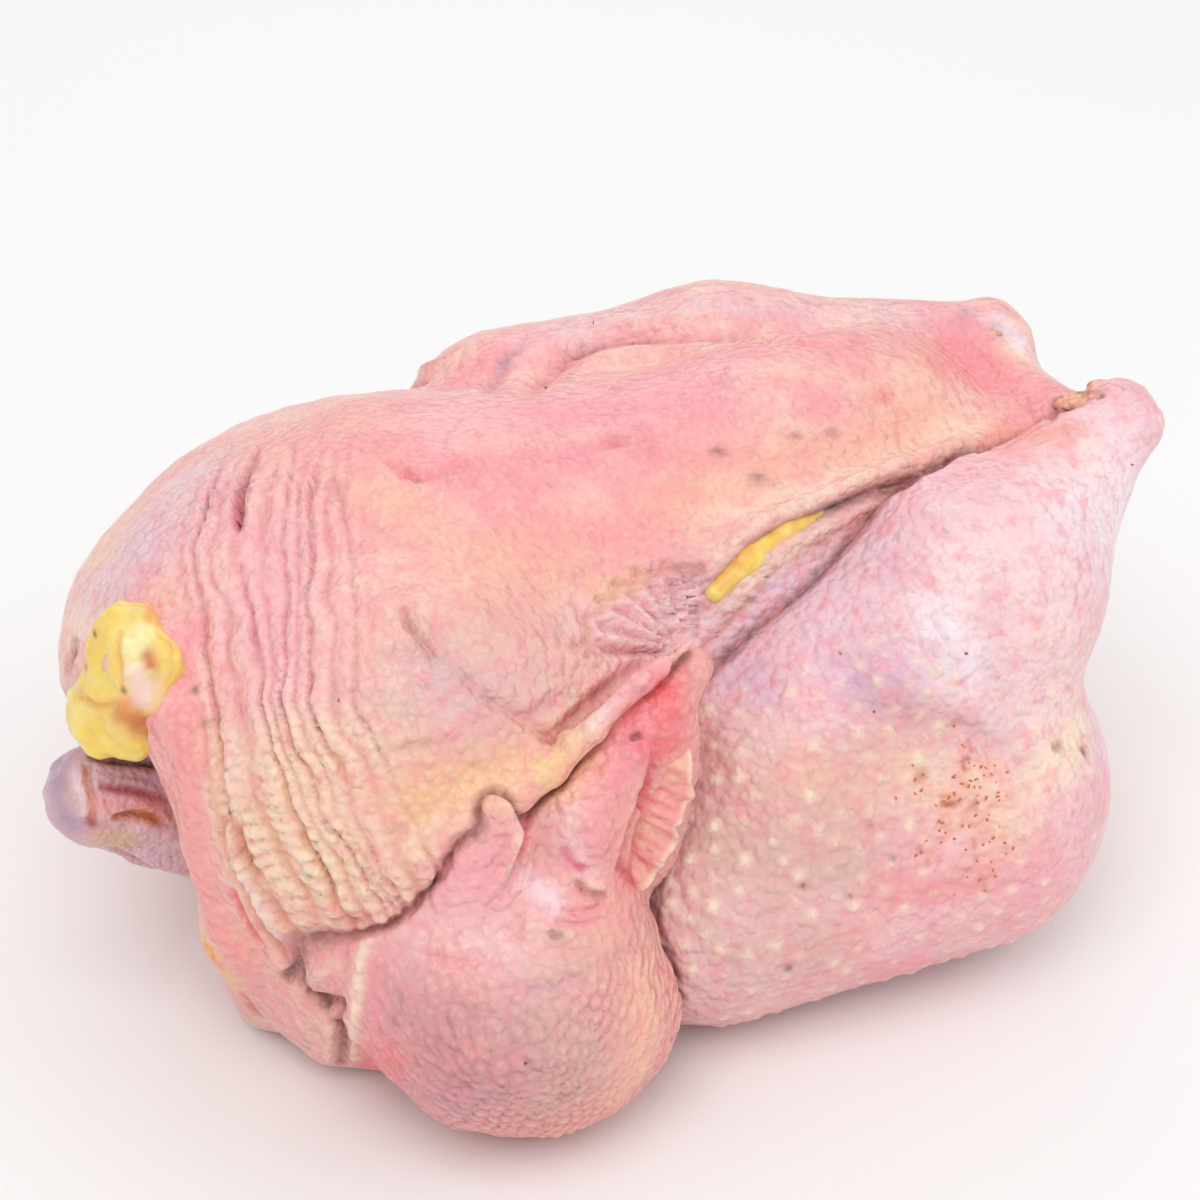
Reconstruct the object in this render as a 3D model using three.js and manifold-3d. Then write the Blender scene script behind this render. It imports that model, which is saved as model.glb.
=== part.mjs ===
// A whole raw chicken, dressed, lying on its back with its legs tucked.
// Millimetres. +X runs from the neck to the tail, +Y to the bird's left, +Z up; it stands on z = 0.

import * as THREE from 'three';
import { mergeVertices } from 'three/addons/utils/BufferGeometryUtils.js';
import Module from 'manifold-3d';

const wasm = await Module();
wasm.setup();

// Driving sizes

const GAP = 0.35;
const CREASE = 5;
const CENTRE = new THREE.Vector3(-2, -3, 0);
const BODY_CELL = 8.45;
const WING_CELL = 7;
const SMALL_CELL = 4.6;
const SEAM_CELL = 2.8;
const ROOM = { low: [-140, -120, -22], high: [140, 120, 136] };
const NECK_ROOM = { low: [-140, -50, 10], high: [-60, 40, 120] };
const SEAM_ROOM = { low: [4, -56, 84], high: [56, -18, 116] };
const LONG_AXIS = { y: 0, z: 45 };

// How softly forms run into each other, as the size of the rounding
const SOFT = {
  crop: 16, shoulders: 20, keel: 12, breast: 11, back: 16, lowerShoulder: 13, rim: 4, neck: 6.5, hollow: 6.5,
  shin: 11, legs: 14, web: 10, tail: 16, arm: 9.5, thumb: 4, wingWeb: 6.5, frillBase: 4, fat: 4, seam: 2,
};

// How surfaces are found: the slope's sample, the turns of settling, and the search outwards from the long axis
const SLOPE_STEP = 0.4;
const SETTLE = { turns: 3, leastSlope: 0.2 };
const SEARCH = { inner: 20, outer: 110, passes: 24 };
const FOLD_MESH = { steps: 7, sides: 5 };
const WRINKLE_SIDES = 4;
const KNUCKLE_MESH = { around: 7, down: 5 };
const WELD = 1e-4;

// Trunk: the plump breast over the back, then the skin of the shoulders and the belly
const TRUNK = { middle: [-45, -3, 61.5], reach: [69, 67, 55.5] };
const CROP = { middle: [-73, 6, 73], reach: [45.8, 44.6, 36] };
const SHOULDER_RIGHT = { middle: [-56, -48, 65.5], reach: [41.5, 29, 45] };
const SHOULDER_LEFT = { middle: [-53, 41.5, 64], reach: [40, 27, 38] };
const BACK = { middle: [8, -3, 35], reach: [104, 61, 38.5] };
const LOWER_SHOULDER = { middle: [-66, -43, 24], reach: [29, 27, 30] };
const KEEL = [[-40, 3, 70.5, 49], [46, 3, 87, 33.5], [72, 5, 95, 22], [89, -10, 99, 8]];
const BREAST_EDGE = { middle: [16, -19, 82], reach: [48, 25, 27] };

// Legs: drumstick from hock to knee, and the thigh below it
const LEG_RIGHT = {
  shin: [[115, -26, 108, 8.5], [72.5, -43, 82.5, 27], [22, -50, 53, 31]],
  thigh: [[6.5, -54.5, 30.5, 33.5], [64, -52, 38, 38]],
  knuckles: [[116.5, -31.5, 109.5, 6.4], [118, -22.5, 110.5, 6]],
  softness: 10,
};
const LEG_LEFT = {
  shin: [[105.5, 21, 106, 9.5], [46, 40, 92, 25.5], [-4, 43, 88.5, 27]],
  thigh: [[0, 40, 40, 33.5], [80, 33.5, 37, 35]],
  knuckles: [[108.5, 15.5, 108.5, 6.2], [109, 25.5, 108, 6.6]],
  softness: 16,
};
const RUMP = { middle: [77, 0, 70.5], reach: [40, 33.5, 37] };
const HOCK_WEB = [[103, 16, 100, 8], [107, -18, 103, 8]];
const TAIL = [[80, 0, 36, 32], [118.5, 3, 32, 9.5]];

// Wing, folded against the side, given for the right wing; the left one lies 6 mm closer in
const UPPER_WING = { middle: [-44.5, -77, 28], reach: [34.5, 28.5, 27], lean: 20 };
const SHOULDER_JOINT = [[-70, -56, 44, 21], [-46, -74, 32, 28]];
const FOREARM = [[-62.5, -67, 38.5, 17.5], [-53, -73.5, 67, 11]];
const HAND = [[-36, -73.5, 48, 19], [-32, -75, 75, 11]];
const THUMB = { middle: [-53, -78.5, 72], reach: [11, 5.5, 16], lean: 15 };
const WING_WEB = [[-29, -73.5, 73.5, 9.5], [-5, -69, 97.5, 5]];
const FRILL_BASE = { middle: [-14, -75, 70], reach: [8, 4.5, 25], lean: 12 };
const LEFT_WING_TUCK = 6;
const FRILL_ROOT = [[-9, -71, 98], [-21, -79, 84], [-27, -80.5, 69], [-25, -79.5, 55]];
const FRILL_EDGE = [[-4.5, -72, 98], [-3.5, -79, 86], [-6, -81.5, 73], [-12, -82.5, 61], [-20, -82, 51]];
const FRILL = {
  thick: 3.2, thin: 1.8, scallops: 5, depth: 1.6, flare: 0.12, fade: 0.4, tip: 0.5, along: 15, across: 2,
};

// Neck end: the rim of cut neck skin round a hollow, the skinned stump of the neck, and yellow fat
const NECK_RIM = [[-107, -24, 93, 8.5], [-96, -40, 73.5, 9], [-94.5, -43, 35, 9], [-89.5, -35, 8, 8]];
const HOLLOW = { middle: [-121.5, -17.5, 53], reach: [24, 27, 27] };
const NECK = { line: [[-96, -5, 48, 15], [-117, -15.5, 53, 14.5]], strands: 5, groove: 0.9 };
const CROP_FAT = [
  { middle: [-108, -18, 91], reach: [10, 12, 13.5] },
  { middle: [-112, -25, 85], reach: [8, 9, 9] },
  { middle: [-116.5, -19, 79.5], reach: [9.5, 11, 8.5] },
  { middle: [-105.5, -28, 98.5], reach: [6, 7, 6.5] },
];
const SEAM_FAT = [[12, -41.5, 95.5, 2.6], [20, -38.5, 99.5, 3.4], [30, -34.5, 102.8, 3], [43, -32, 103.6, 1.8]];

// Folds of skin that stand out from the body: points along each, and its half width
const HEM = {
  line: [[-4, -70, 101], [-25, -74, 90], [-43, -79, 82], [-62, -78.5, 71], [-77, -72.5, 55], [-90, -62, 40]],
  half: 4.4,
};
const BREAST_LIP = {
  line: [[90, -17, 104], [76, -24, 106.5], [60, -28.5, 106], [44, -31, 105.5], [27, -34.5, 104], [13, -40, 98]],
  half: 3.6,
};
const ARMPIT_FOLDS = [
  { line: [[-6, -68, 101], [-12, -55, 103], [-19, -47, 104]], half: 2.6 },
  { line: [[-4, -67, 101], [-4, -55, 101], [-6, -45, 100.5]], half: 2.6 },
  { line: [[-1, -66, 100], [5, -54, 98.5], [9, -44, 98]], half: 2.6 },
  { line: [[-50, -65, 106.5], [-54, -58, 109], [-58, -50, 112]], half: 2.4 },
];
const LOWER_FOLDS = [
  { line: [[-90, -50, 34], [-82, -62, 25], [-72, -69, 20]], half: 4 },
  { line: [[-92, -43, 18], [-82, -57, 10], [-70, -66, 8]], half: 4.4 },
];
const WRINKLES = {
  count: 9, half: 2.1, sink: 0.6, steps: 9, top: 96, bottom: 2,
  front: -86, bow: 12, turn: 2.3, back: -59, spread: 11, wave: 1.3, waves: 9, shift: 2.1,
};
const FOLD_TIP = 0.5;

// Forms: signed distance functions of a point, negative inside

function ball({ middle: [cx, cy, cz], reach: [rx, ry, rz], lean = 0 }) {
  const c = Math.cos(THREE.MathUtils.degToRad(lean));
  const s = Math.sin(THREE.MathUtils.degToRad(lean));
  return (x, y, z) => {
    const dx = x - cx;
    const dz = z - cz;
    const [a, b, d] = [c * dx - s * dz, y - cy, s * dx + c * dz];
    const near = Math.hypot(a / rx, b / ry, d / rz);
    const steep = Math.hypot(a / rx ** 2, b / ry ** 2, d / rz ** 2);
    return (near * (near - 1)) / Math.max(steep, 1e-9);
  };
}

function limb([ax, ay, az, ra], [bx, by, bz, rb]) {
  const [ux, uy, uz] = [bx - ax, by - ay, bz - az];
  const length2 = ux * ux + uy * uy + uz * uz;
  return (x, y, z) => {
    const [dx, dy, dz] = [x - ax, y - ay, z - az];
    const t = THREE.MathUtils.clamp((dx * ux + dy * uy + dz * uz) / length2, 0, 1);
    return Math.hypot(dx - t * ux, dy - t * uy, dz - t * uz) - ra - (rb - ra) * t;
  };
}

const softMin = (a, b, k) => Math.min(a, b) - Math.max(k - Math.abs(a - b), 0) ** 2 / (4 * k);

function blend(k, first, ...others) {
  return (x, y, z) => others.reduce((d, form) => softMin(d, form(x, y, z), k), first(x, y, z));
}

const carve = (k, form, cut) => (x, y, z) => -softMin(-form(x, y, z), cut(x, y, z), k);

const chain = (k, points) => blend(k, ...points.slice(1).map((end, i) => limb(points[i], end)));

const mirrored = (form, tuck) => (x, y, z) => form(x, -y - tuck, z);

function trunkForm() {
  const front = blend(SOFT.crop, ball(TRUNK), ball(CROP));
  const shoulders = blend(SOFT.shoulders, front, ball(SHOULDER_RIGHT), ball(SHOULDER_LEFT));
  const breast = blend(SOFT.breast, chain(SOFT.keel, KEEL), ball(BREAST_EDGE));
  const body = blend(SOFT.lowerShoulder, blend(SOFT.back, shoulders, breast, ball(BACK)), ball(LOWER_SHOULDER));
  return carve(SOFT.hollow, blend(SOFT.neck, body, chain(SOFT.rim, NECK_RIM)), ball(HOLLOW));
}

function legForm({ shin, thigh, softness }) {
  return blend(softness, chain(SOFT.shin, shin), limb(...thigh));
}

function hindForm() {
  const legs = blend(SOFT.legs, ball(RUMP), legForm(LEG_RIGHT), legForm(LEG_LEFT));
  return blend(SOFT.tail, blend(SOFT.web, legs, limb(...HOCK_WEB)), limb(...TAIL));
}

function wingForm() {
  const arm = blend(SOFT.arm, ball(UPPER_WING), limb(...SHOULDER_JOINT), limb(...FOREARM), limb(...HAND));
  const webbed = blend(SOFT.wingWeb, blend(SOFT.thumb, arm, ball(THUMB)), limb(...WING_WEB));
  return blend(SOFT.frillBase, webbed, ball(FRILL_BASE));
}

function neckForm() {
  const [from, to] = NECK.line;
  const tube = limb(from, to);
  const slope = [(to[1] - from[1]) / (to[0] - from[0]), (to[2] - from[2]) / (to[0] - from[0])];
  return (x, y, z) => {
    const round = Math.atan2(z - from[2] - slope[1] * (x - from[0]), y - from[1] - slope[0] * (x - from[0]));
    return tube(x, y, z) - NECK.groove * Math.cos(NECK.strands * round);
  };
}

const cropFatForm = () => blend(SOFT.fat, ...CROP_FAT.map(ball));
const seamFatForm = () => chain(SOFT.seam, SEAM_FAT);

// Surfaces

function gradient(form, [x, y, z]) {
  const e = SLOPE_STEP;
  const g = [
    form(x + e, y, z) - form(x - e, y, z),
    form(x, y + e, z) - form(x, y - e, z),
    form(x, y, z + e) - form(x, y, z - e),
  ];
  return g.map((v) => v / (2 * e));
}

// Moves a point along the form's slope until it lies on the surface.
function settle(form, point) {
  let p = point;
  for (let turn = 0; turn < SETTLE.turns; turn += 1) {
    const g = gradient(form, p);
    const step = form(...p) / Math.max(g[0] ** 2 + g[1] ** 2 + g[2] ** 2, SETTLE.leastSlope);
    p = p.map((v, i) => v - g[i] * step);
  }
  return p;
}

// Meshes a form over a grid: one vertex in each cell that the surface crosses, one quad at each crossed edge.
function surface(form, cell, { low, high } = ROOM) {
  const size = low.map((v, i) => Math.ceil((high[i] - v) / cell) + 1);
  const at = (i, j, k) => (i * size[1] + j) * size[2] + k;
  const corner = (i, j, k) => [low[0] + i * cell, low[1] + j * cell, low[2] + k * cell];
  const value = new Float64Array(size[0] * size[1] * size[2]);
  for (let i = 0; i < size[0]; i += 1) {
    for (let j = 0; j < size[1]; j += 1) {
      for (let k = 0; k < size[2]; k += 1) value[at(i, j, k)] = form(...corner(i, j, k));
    }
  }
  const steps = [[1, 0, 0], [0, 1, 0], [0, 0, 1]];
  const corners = [0, 1, 2, 3, 4, 5, 6, 7].map((n) => [n & 1, (n >> 1) & 1, (n >> 2) & 1]);
  const vertexOf = new Map();
  const vertices = [];
  for (let i = 0; i < size[0] - 1; i += 1) {
    for (let j = 0; j < size[1] - 1; j += 1) {
      for (let k = 0; k < size[2] - 1; k += 1) {
        const sum = [0, 0, 0];
        let crossings = 0;
        for (const [a, b, c] of corners) {
          for (const [axis, [u, v, w]] of steps.entries()) {
            if ([a, b, c][axis] === 1) continue;
            const here = value[at(i + a, j + b, k + c)];
            const there = value[at(i + a + u, j + b + v, k + c + w)];
            if (here < 0 === there < 0) continue;
            const t = here / (here - there);
            const p = corner(i + a + u * t, j + b + v * t, k + c + w * t);
            p.forEach((q, n) => { sum[n] += q; });
            crossings += 1;
          }
        }
        if (crossings === 0) continue;
        vertexOf.set(at(i, j, k), vertices.length);
        vertices.push(settle(form, sum.map((q) => q / crossings)));
      }
    }
  }
  const triangles = [];
  for (let i = 1; i < size[0] - 1; i += 1) {
    for (let j = 1; j < size[1] - 1; j += 1) {
      for (let k = 1; k < size[2] - 1; k += 1) {
        for (const [axis, [u, v, w]] of steps.entries()) {
          const inside = value[at(i, j, k)] < 0;
          if (inside === value[at(i + u, j + v, k + w)] < 0) continue;
          const [p, q] = [steps[(axis + 1) % 3], steps[(axis + 2) % 3]];
          const ring = [[0, 0], [1, 0], [1, 1], [0, 1]].map(([m, n]) =>
            vertexOf.get(at(i - m * p[0] - n * q[0], j - m * p[1] - n * q[1], k - m * p[2] - n * q[2])));
          const [a, b, c, d] = inside ? ring : ring.toReversed();
          const across = (m, n) => Math.hypot(...vertices[m].map((x, t) => x - vertices[n][t]));
          if (across(a, c) < across(b, d)) triangles.push(a, b, c, a, c, d);
          else triangles.push(a, b, d, b, c, d);
        }
      }
    }
  }
  const geometry = new THREE.BufferGeometry();
  geometry.setAttribute('position', new THREE.Float32BufferAttribute(vertices.flat(), 3));
  geometry.setIndex(triangles);
  return geometry;
}

// A grid of points closed on itself round each row, with a point at either end: a tube that thins to its tips.
function sleeve(rows, start, end) {
  const sides = rows[0].length;
  const positions = [start, ...rows.flat(), end];
  const index = [];
  const at = (row, side) => 1 + row * sides + (side % sides);
  for (let side = 0; side < sides; side += 1) {
    index.push(0, at(0, side + 1), at(0, side));
    for (let row = 0; row < rows.length - 1; row += 1) {
      index.push(at(row, side), at(row, side + 1), at(row + 1, side));
      index.push(at(row + 1, side), at(row, side + 1), at(row + 1, side + 1));
    }
    index.push(at(rows.length - 1, side), at(rows.length - 1, side + 1), positions.length - 1);
  }
  const geometry = new THREE.BufferGeometry();
  geometry.setAttribute('position', new THREE.Float32BufferAttribute(positions.flatMap((p) => p.toArray()), 3));
  geometry.setIndex(index);
  return geometry;
}

const curveThrough = (line) => new THREE.CatmullRomCurve3(line.map((p) => new THREE.Vector3(...p)));

// A rounded fold of skin along a line, widest at its middle.
function fold({ line, half }, steps = FOLD_MESH.steps, sides = FOLD_MESH.sides) {
  const curve = curveThrough(line);
  const frames = curve.computeFrenetFrames(steps, false);
  const rows = [];
  for (let step = 1; step < steps; step += 1) {
    const width = half * Math.sin((Math.PI * step) / steps) ** FOLD_TIP;
    const centre = curve.getPointAt(step / steps);
    rows.push(Array.from({ length: sides }, (_, side) => {
      const turn = (2 * Math.PI * side) / sides;
      return centre.clone()
        .addScaledVector(frames.normals[step], width * Math.cos(turn))
        .addScaledVector(frames.binormals[step], width * Math.sin(turn));
    }));
  }
  return sleeve(rows, curve.getPointAt(0), curve.getPointAt(1));
}

// The point of the skin at a place along the bird and an angle round it: 0 to the right, 90 up.
function skinPoint(form, x, degrees, sink) {
  const turn = THREE.MathUtils.degToRad(degrees);
  const at = (r) => [x, LONG_AXIS.y - r * Math.cos(turn), LONG_AXIS.z + r * Math.sin(turn)];
  let { inner, outer } = SEARCH;
  for (let pass = 0; pass < SEARCH.passes; pass += 1) {
    const middle = (inner + outer) / 2;
    if (form(...at(middle)) < 0) inner = middle;
    else outer = middle;
  }
  return at(inner - sink);
}

// The wrinkles of the shoulder skin, which run down from the crop to the wing.
function wrinkle(form, number) {
  const share = number / (WRINKLES.count - 1);
  const line = Array.from({ length: WRINKLES.steps }, (_, step) => {
    const down = step / (WRINKLES.steps - 1);
    const degrees = THREE.MathUtils.lerp(WRINKLES.top, WRINKLES.bottom, down);
    const front = WRINKLES.front - WRINKLES.bow * Math.sin(WRINKLES.turn * down);
    const back = WRINKLES.back - WRINKLES.spread * down;
    const wave = WRINKLES.wave * Math.sin(WRINKLES.waves * down + WRINKLES.shift * number);
    return skinPoint(form, THREE.MathUtils.lerp(front, back, share) + wave, degrees, WRINKLES.sink);
  });
  return fold({ line, half: WRINKLES.half }, WRINKLES.steps, WRINKLE_SIDES);
}

// The frilled flap of skin behind the wing: a thin slab from its root to a scalloped free edge.
function frill() {
  const root = curveThrough(FRILL_ROOT);
  const edge = curveThrough(FRILL_EDGE);
  const { along, across, scallops, depth, flare, fade, tip } = FRILL;
  const rows = [];
  for (let step = 1; step < along; step += 1) {
    const t = step / along;
    const ease = Math.sin(Math.PI * t) ** fade;
    const wave = Math.cos(2 * Math.PI * scallops * t);
    const [from, to] = [root.getPointAt(t), edge.getPointAt(t)];
    const reach = to.clone().sub(from);
    const outward = new THREE.Vector3().crossVectors(reach, root.getTangentAt(t)).normalize();
    const middle = (s) => from.clone()
      .addScaledVector(reach, s * (1 + flare * wave * s * depth))
      .addScaledVector(outward, depth * s * ease * wave);
    const fullness = THREE.MathUtils.lerp(tip, 1, ease) / 2;
    const half = (s) => fullness * THREE.MathUtils.lerp(FRILL.thick, FRILL.thin, s);
    const front = [];
    const back = [];
    for (let n = 0; n <= across; n += 1) {
      const s = n / across;
      front.push(middle(s).addScaledVector(outward, half(s)));
      back.push(middle(s).addScaledVector(outward, -half(s)));
    }
    rows.push([...front, ...back.toReversed()]);
  }
  return sleeve(rows, root.getPointAt(0), edge.getPointAt(1));
}

function knuckle([x, y, z, radius]) {
  return new THREE.SphereGeometry(radius, KNUCKLE_MESH.around, KNUCKLE_MESH.down).translate(x, y, z);
}

// Solids

function solid(geometry) {
  const bare = geometry.clone();
  bare.deleteAttribute('normal');
  bare.deleteAttribute('uv');
  const merged = mergeVertices(bare, WELD);
  const made = new wasm.Manifold(new wasm.Mesh({
    numProp: 3,
    vertProperties: new Float32Array(merged.attributes.position.array),
    triVerts: new Uint32Array(merged.index.array),
  }));
  if (made.volume() > 0) return made;
  return solid(turnedOut(merged));
}

// The same faces, turned to look the other way.
function turnedOut(geometry) {
  const index = geometry.index.array;
  for (let i = 0; i < index.length; i += 3) [index[i], index[i + 1]] = [index[i + 1], index[i]];
  return geometry;
}

const joined = (solids) => solids.reduce((whole, next) => whole.add(next));

function geometryOf(made) {
  const { vertProperties, triVerts } = made.getMesh();
  const geometry = new THREE.BufferGeometry();
  geometry.setAttribute('position', new THREE.BufferAttribute(vertProperties, 3));
  geometry.setIndex(new THREE.BufferAttribute(triVerts, 1));
  return geometry;
}

// Keeps only the largest connected surface, which fills any hollow shut in between wing and side.
function outerShell(geometry) {
  const index = geometry.index.array;
  const parent = Array.from({ length: geometry.attributes.position.count }, (_, n) => n);
  const find = (n) => {
    let top = n;
    while (parent[top] !== top) top = parent[top];
    parent[n] = top;
    return top;
  };
  for (let i = 0; i < index.length; i += 3) {
    parent[find(index[i + 1])] = find(index[i]);
    parent[find(index[i + 2])] = find(index[i]);
  }
  const shells = new Map();
  for (let i = 0; i < index.length; i += 3) {
    const shell = find(index[i]);
    if (!shells.has(shell)) shells.set(shell, []);
    shells.get(shell).push(index[i], index[i + 1], index[i + 2]);
  }
  const largest = [...shells.values()].reduce((most, each) => (each.length > most.length ? each : most));
  return geometry.clone().setIndex(largest);
}

function groundBlock() {
  const [depth, reach] = [40, 400];
  return solid(new THREE.BoxGeometry(reach, reach, depth).translate(0, 0, -depth / 2));
}

const flipped = (geometry) => turnedOut(geometry.clone().scale(1, -1, 1).translate(0, -LEFT_WING_TUCK, 0));

function carcassSolid(seats) {
  const trunk = trunkForm();
  const wing = wingForm();
  const folds = [HEM, BREAST_LIP, ...ARMPIT_FOLDS, ...LOWER_FOLDS];
  const pieces = [
    surface(blend(CREASE, trunk, hindForm()), BODY_CELL),
    surface(wing, WING_CELL),
    surface(mirrored(wing, LEFT_WING_TUCK), WING_CELL),
    frill(),
    flipped(frill()),
    ...folds.map((each) => fold(each)),
    ...Array.from({ length: WRINKLES.count }, (_, number) => wrinkle(trunk, number)),
    ...[...LEG_RIGHT.knuckles, ...LEG_LEFT.knuckles].map(knuckle),
  ];
  const whole = solid(outerShell(geometryOf(joined(pieces.map(solid)).subtract(groundBlock()))));
  return seats.reduce((left, seat) => left.subtract(seat), whole);
}

const skin = new THREE.MeshStandardMaterial({ color: 0xe9b7a8, roughness: 0.42, metalness: 0 });
const flesh = new THREE.MeshStandardMaterial({ color: 0xa98487, roughness: 0.4, metalness: 0 });
const softFat = new THREE.MeshStandardMaterial({ color: 0xf0d37a, roughness: 0.38, metalness: 0 });
const seamFat = new THREE.MeshStandardMaterial({ color: 0xe8c468, roughness: 0.38, metalness: 0 });

function part(name, made, material) {
  const geometry = geometryOf(made).translate(-CENTRE.x, -CENTRE.y, -CENTRE.z);
  geometry.computeVertexNormals();
  const mesh = new THREE.Mesh(geometry, material);
  mesh.name = name;
  return mesh;
}

// The same surface pushed outwards, which cuts the seat that keeps a gap round it.
function swollen(geometry, by) {
  const grown = geometry.clone();
  grown.computeVertexNormals();
  const { position, normal } = grown.attributes;
  for (let n = 0; n < position.count; n += 1) {
    const at = new THREE.Vector3().fromBufferAttribute(position, n);
    at.addScaledVector(new THREE.Vector3().fromBufferAttribute(normal, n), by);
    position.setXYZ(n, at.x, at.y, at.z);
  }
  return grown;
}

const inserts = {
  neck: surface(neckForm(), SMALL_CELL, NECK_ROOM),
  crop_fat: surface(cropFatForm(), SMALL_CELL, NECK_ROOM),
  seam_fat: surface(seamFatForm(), SEAM_CELL, SEAM_ROOM),
};
const seats = Object.values(inserts).map((geometry) => solid(swollen(geometry, GAP)));
const [, fatSeat] = seats;

const chicken = new THREE.Group();
chicken.add(part('carcass', carcassSolid(seats), skin));
chicken.add(part('neck', solid(inserts.neck).subtract(fatSeat), flesh));
chicken.add(part('crop_fat', solid(inserts.crop_fat), softFat));
chicken.add(part('seam_fat', solid(inserts.seam_fat), seamFat));

export default chicken;
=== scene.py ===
"""A whole raw chicken, dressed, lying on its back with its legs tucked.

Places are millimetres in the bird's own drawing frame: +X from the neck to the tail, +Y to its left, +Z up.
Blender objects are in metres in the part's frame, which Maker.place works out from the drawing frame.
"""
import logging
import math
from collections.abc import Sequence
from dataclasses import dataclass, field
from enum import Enum

import bpy
import numpy as np
from mathutils import Matrix, Vector
from mathutils.kdtree import KDTree


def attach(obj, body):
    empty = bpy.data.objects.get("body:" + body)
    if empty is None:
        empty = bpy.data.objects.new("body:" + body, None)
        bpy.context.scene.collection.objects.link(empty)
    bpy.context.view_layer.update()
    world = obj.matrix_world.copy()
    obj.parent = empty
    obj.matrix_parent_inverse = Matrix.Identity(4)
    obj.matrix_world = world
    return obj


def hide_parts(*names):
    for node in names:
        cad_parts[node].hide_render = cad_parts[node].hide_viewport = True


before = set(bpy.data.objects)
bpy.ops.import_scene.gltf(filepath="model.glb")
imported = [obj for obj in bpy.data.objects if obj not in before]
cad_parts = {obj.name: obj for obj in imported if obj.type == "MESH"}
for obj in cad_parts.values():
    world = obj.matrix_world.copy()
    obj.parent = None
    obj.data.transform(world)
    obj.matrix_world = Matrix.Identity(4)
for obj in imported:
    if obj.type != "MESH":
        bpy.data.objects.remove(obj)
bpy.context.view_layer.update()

BODY = "root"
CENTRE = np.array([-2.0, -3.0, 0.0])
LOG = logging.getLogger("chicken")
# Large odd numbers that scramble the place of a grid cell and a seed into a random value of 32 bits
SCRAMBLE = (374761393, 668265263, 1440662683, 974634777)
SECOND_SCRAMBLE = 1274126177
LOW_BITS = 0xFFFFFFFF

Triple = tuple[float, float, float]
Round = tuple[float, float, float, float]
Pixel = tuple[float, float]


class Tone(Enum):
    """The colours that raw skin, flesh and fat take, as the eye sees them (sRGB); VALLEY, WRINKLE, OCHRE,
    MAUVE, DARK and BROWN also serve as painted shade in creases and gaps, and CREAM, PEARL and BLUSH as
    painted highlights.
    """

    PINK = "FAAEB6"
    BLUSH = "FBD6D8"
    ROSE = "F6949F"
    SALMON = "F8A29C"
    PEACH = "F7BEA2"
    CREAM = "FCE2C8"
    BEIGE = "DFB2A6"
    YELLOW_SKIN = "F6C88E"
    LILAC = "E9C6D6"
    VIOLET = "D0A8CC"
    MAUVE = "CC98A6"
    PEARL = "FBE8F0"
    CORAL = "F26468"
    RED = "CF3048"
    MAGENTA = "E04A80"
    VALLEY = "AC4A42"
    WRINKLE = "B24452"
    OCHRE = "CA763C"
    BROWN = "7A3420"
    DARK = "4A1610"
    SLATE = "B892AC"
    FLESH = "E4B4B2"
    TAN = "DDB290"
    FAT = "FAD860"
    PALE_FAT = "FDF0B0"
    ORANGE = "EC9440"

    def linear(self) -> np.ndarray:
        """The tone in linear light."""
        parts = [int(self.value[n : n + 2], 16) / 255 for n in (0, 2, 4)]
        return np.array([p / 12.92 if p <= 0.04045 else ((p + 0.055) / 1.055) ** 2.4 for p in parts])


class Profile(Enum):
    """How the skin rises or sinks across a stroke."""

    FLAT = "flat"
    GROOVE = "groove"
    RIDGE = "ridge"


# Forms


class Form:
    """A solid given by its signed distance, negative inside."""

    def distance(self, points: np.ndarray) -> np.ndarray:
        """Signed distances of points in millimetres."""
        raise NotImplementedError

    def slope(self, points: np.ndarray, step: float = 0.3) -> np.ndarray:
        """The gradient of the distance.

        Args:
            points: rows of x, y and z.
            step: half the side of the little tetrahedron that is sampled.

        Returns:
            One vector for each row.
        """
        corners = np.array([[1, 1, 1], [1, -1, -1], [-1, 1, -1], [-1, -1, 1]], float)
        total = np.zeros_like(points)
        for corner in corners:
            total += corner * self.distance(points + corner * step)[:, None]
        return total / (4 * step)


def soft_min(a: np.ndarray, b: np.ndarray, softness: float) -> np.ndarray:
    """The lesser of two distances, rounded where they meet."""
    return np.minimum(a, b) - np.maximum(softness - np.abs(a - b), 0) ** 2 / (4 * softness)


@dataclass(frozen=True)
class Ball(Form):
    """An ellipsoid, which may lean about Y."""

    middle: Triple
    reach: Triple
    lean: float = 0.0

    def distance(self, points: np.ndarray) -> np.ndarray:
        """Signed distances of points."""
        c, s = math.cos(math.radians(self.lean)), math.sin(math.radians(self.lean))
        off = points - np.array(self.middle)
        turned = np.stack([c * off[:, 0] - s * off[:, 2], off[:, 1], s * off[:, 0] + c * off[:, 2]], axis=1)
        reach = np.array(self.reach)
        near = np.linalg.norm(turned / reach, axis=1)
        steep = np.linalg.norm(turned / reach**2, axis=1)
        return near * (near - 1) / np.maximum(steep, 1e-9)


@dataclass(frozen=True)
class Limb(Form):
    """A round cone between two balls, each given as x, y, z and radius."""

    start: Round
    end: Round

    def distance(self, points: np.ndarray) -> np.ndarray:
        """Signed distances of points."""
        a, b = np.array(self.start[:3]), np.array(self.end[:3])
        along = b - a
        off = points - a
        t = unit(off @ along / max(along @ along, 1e-9))
        radius = self.start[3] + (self.end[3] - self.start[3]) * t
        return np.linalg.norm(off - t[:, None] * along, axis=1) - radius


@dataclass(frozen=True)
class Blend(Form):
    """Forms that run into each other."""

    softness: float
    forms: tuple[Form, ...]

    def distance(self, points: np.ndarray) -> np.ndarray:
        """Signed distances of points."""
        total = self.forms[0].distance(points)
        for form in self.forms[1:]:
            total = soft_min(total, form.distance(points), self.softness)
        return total


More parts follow.
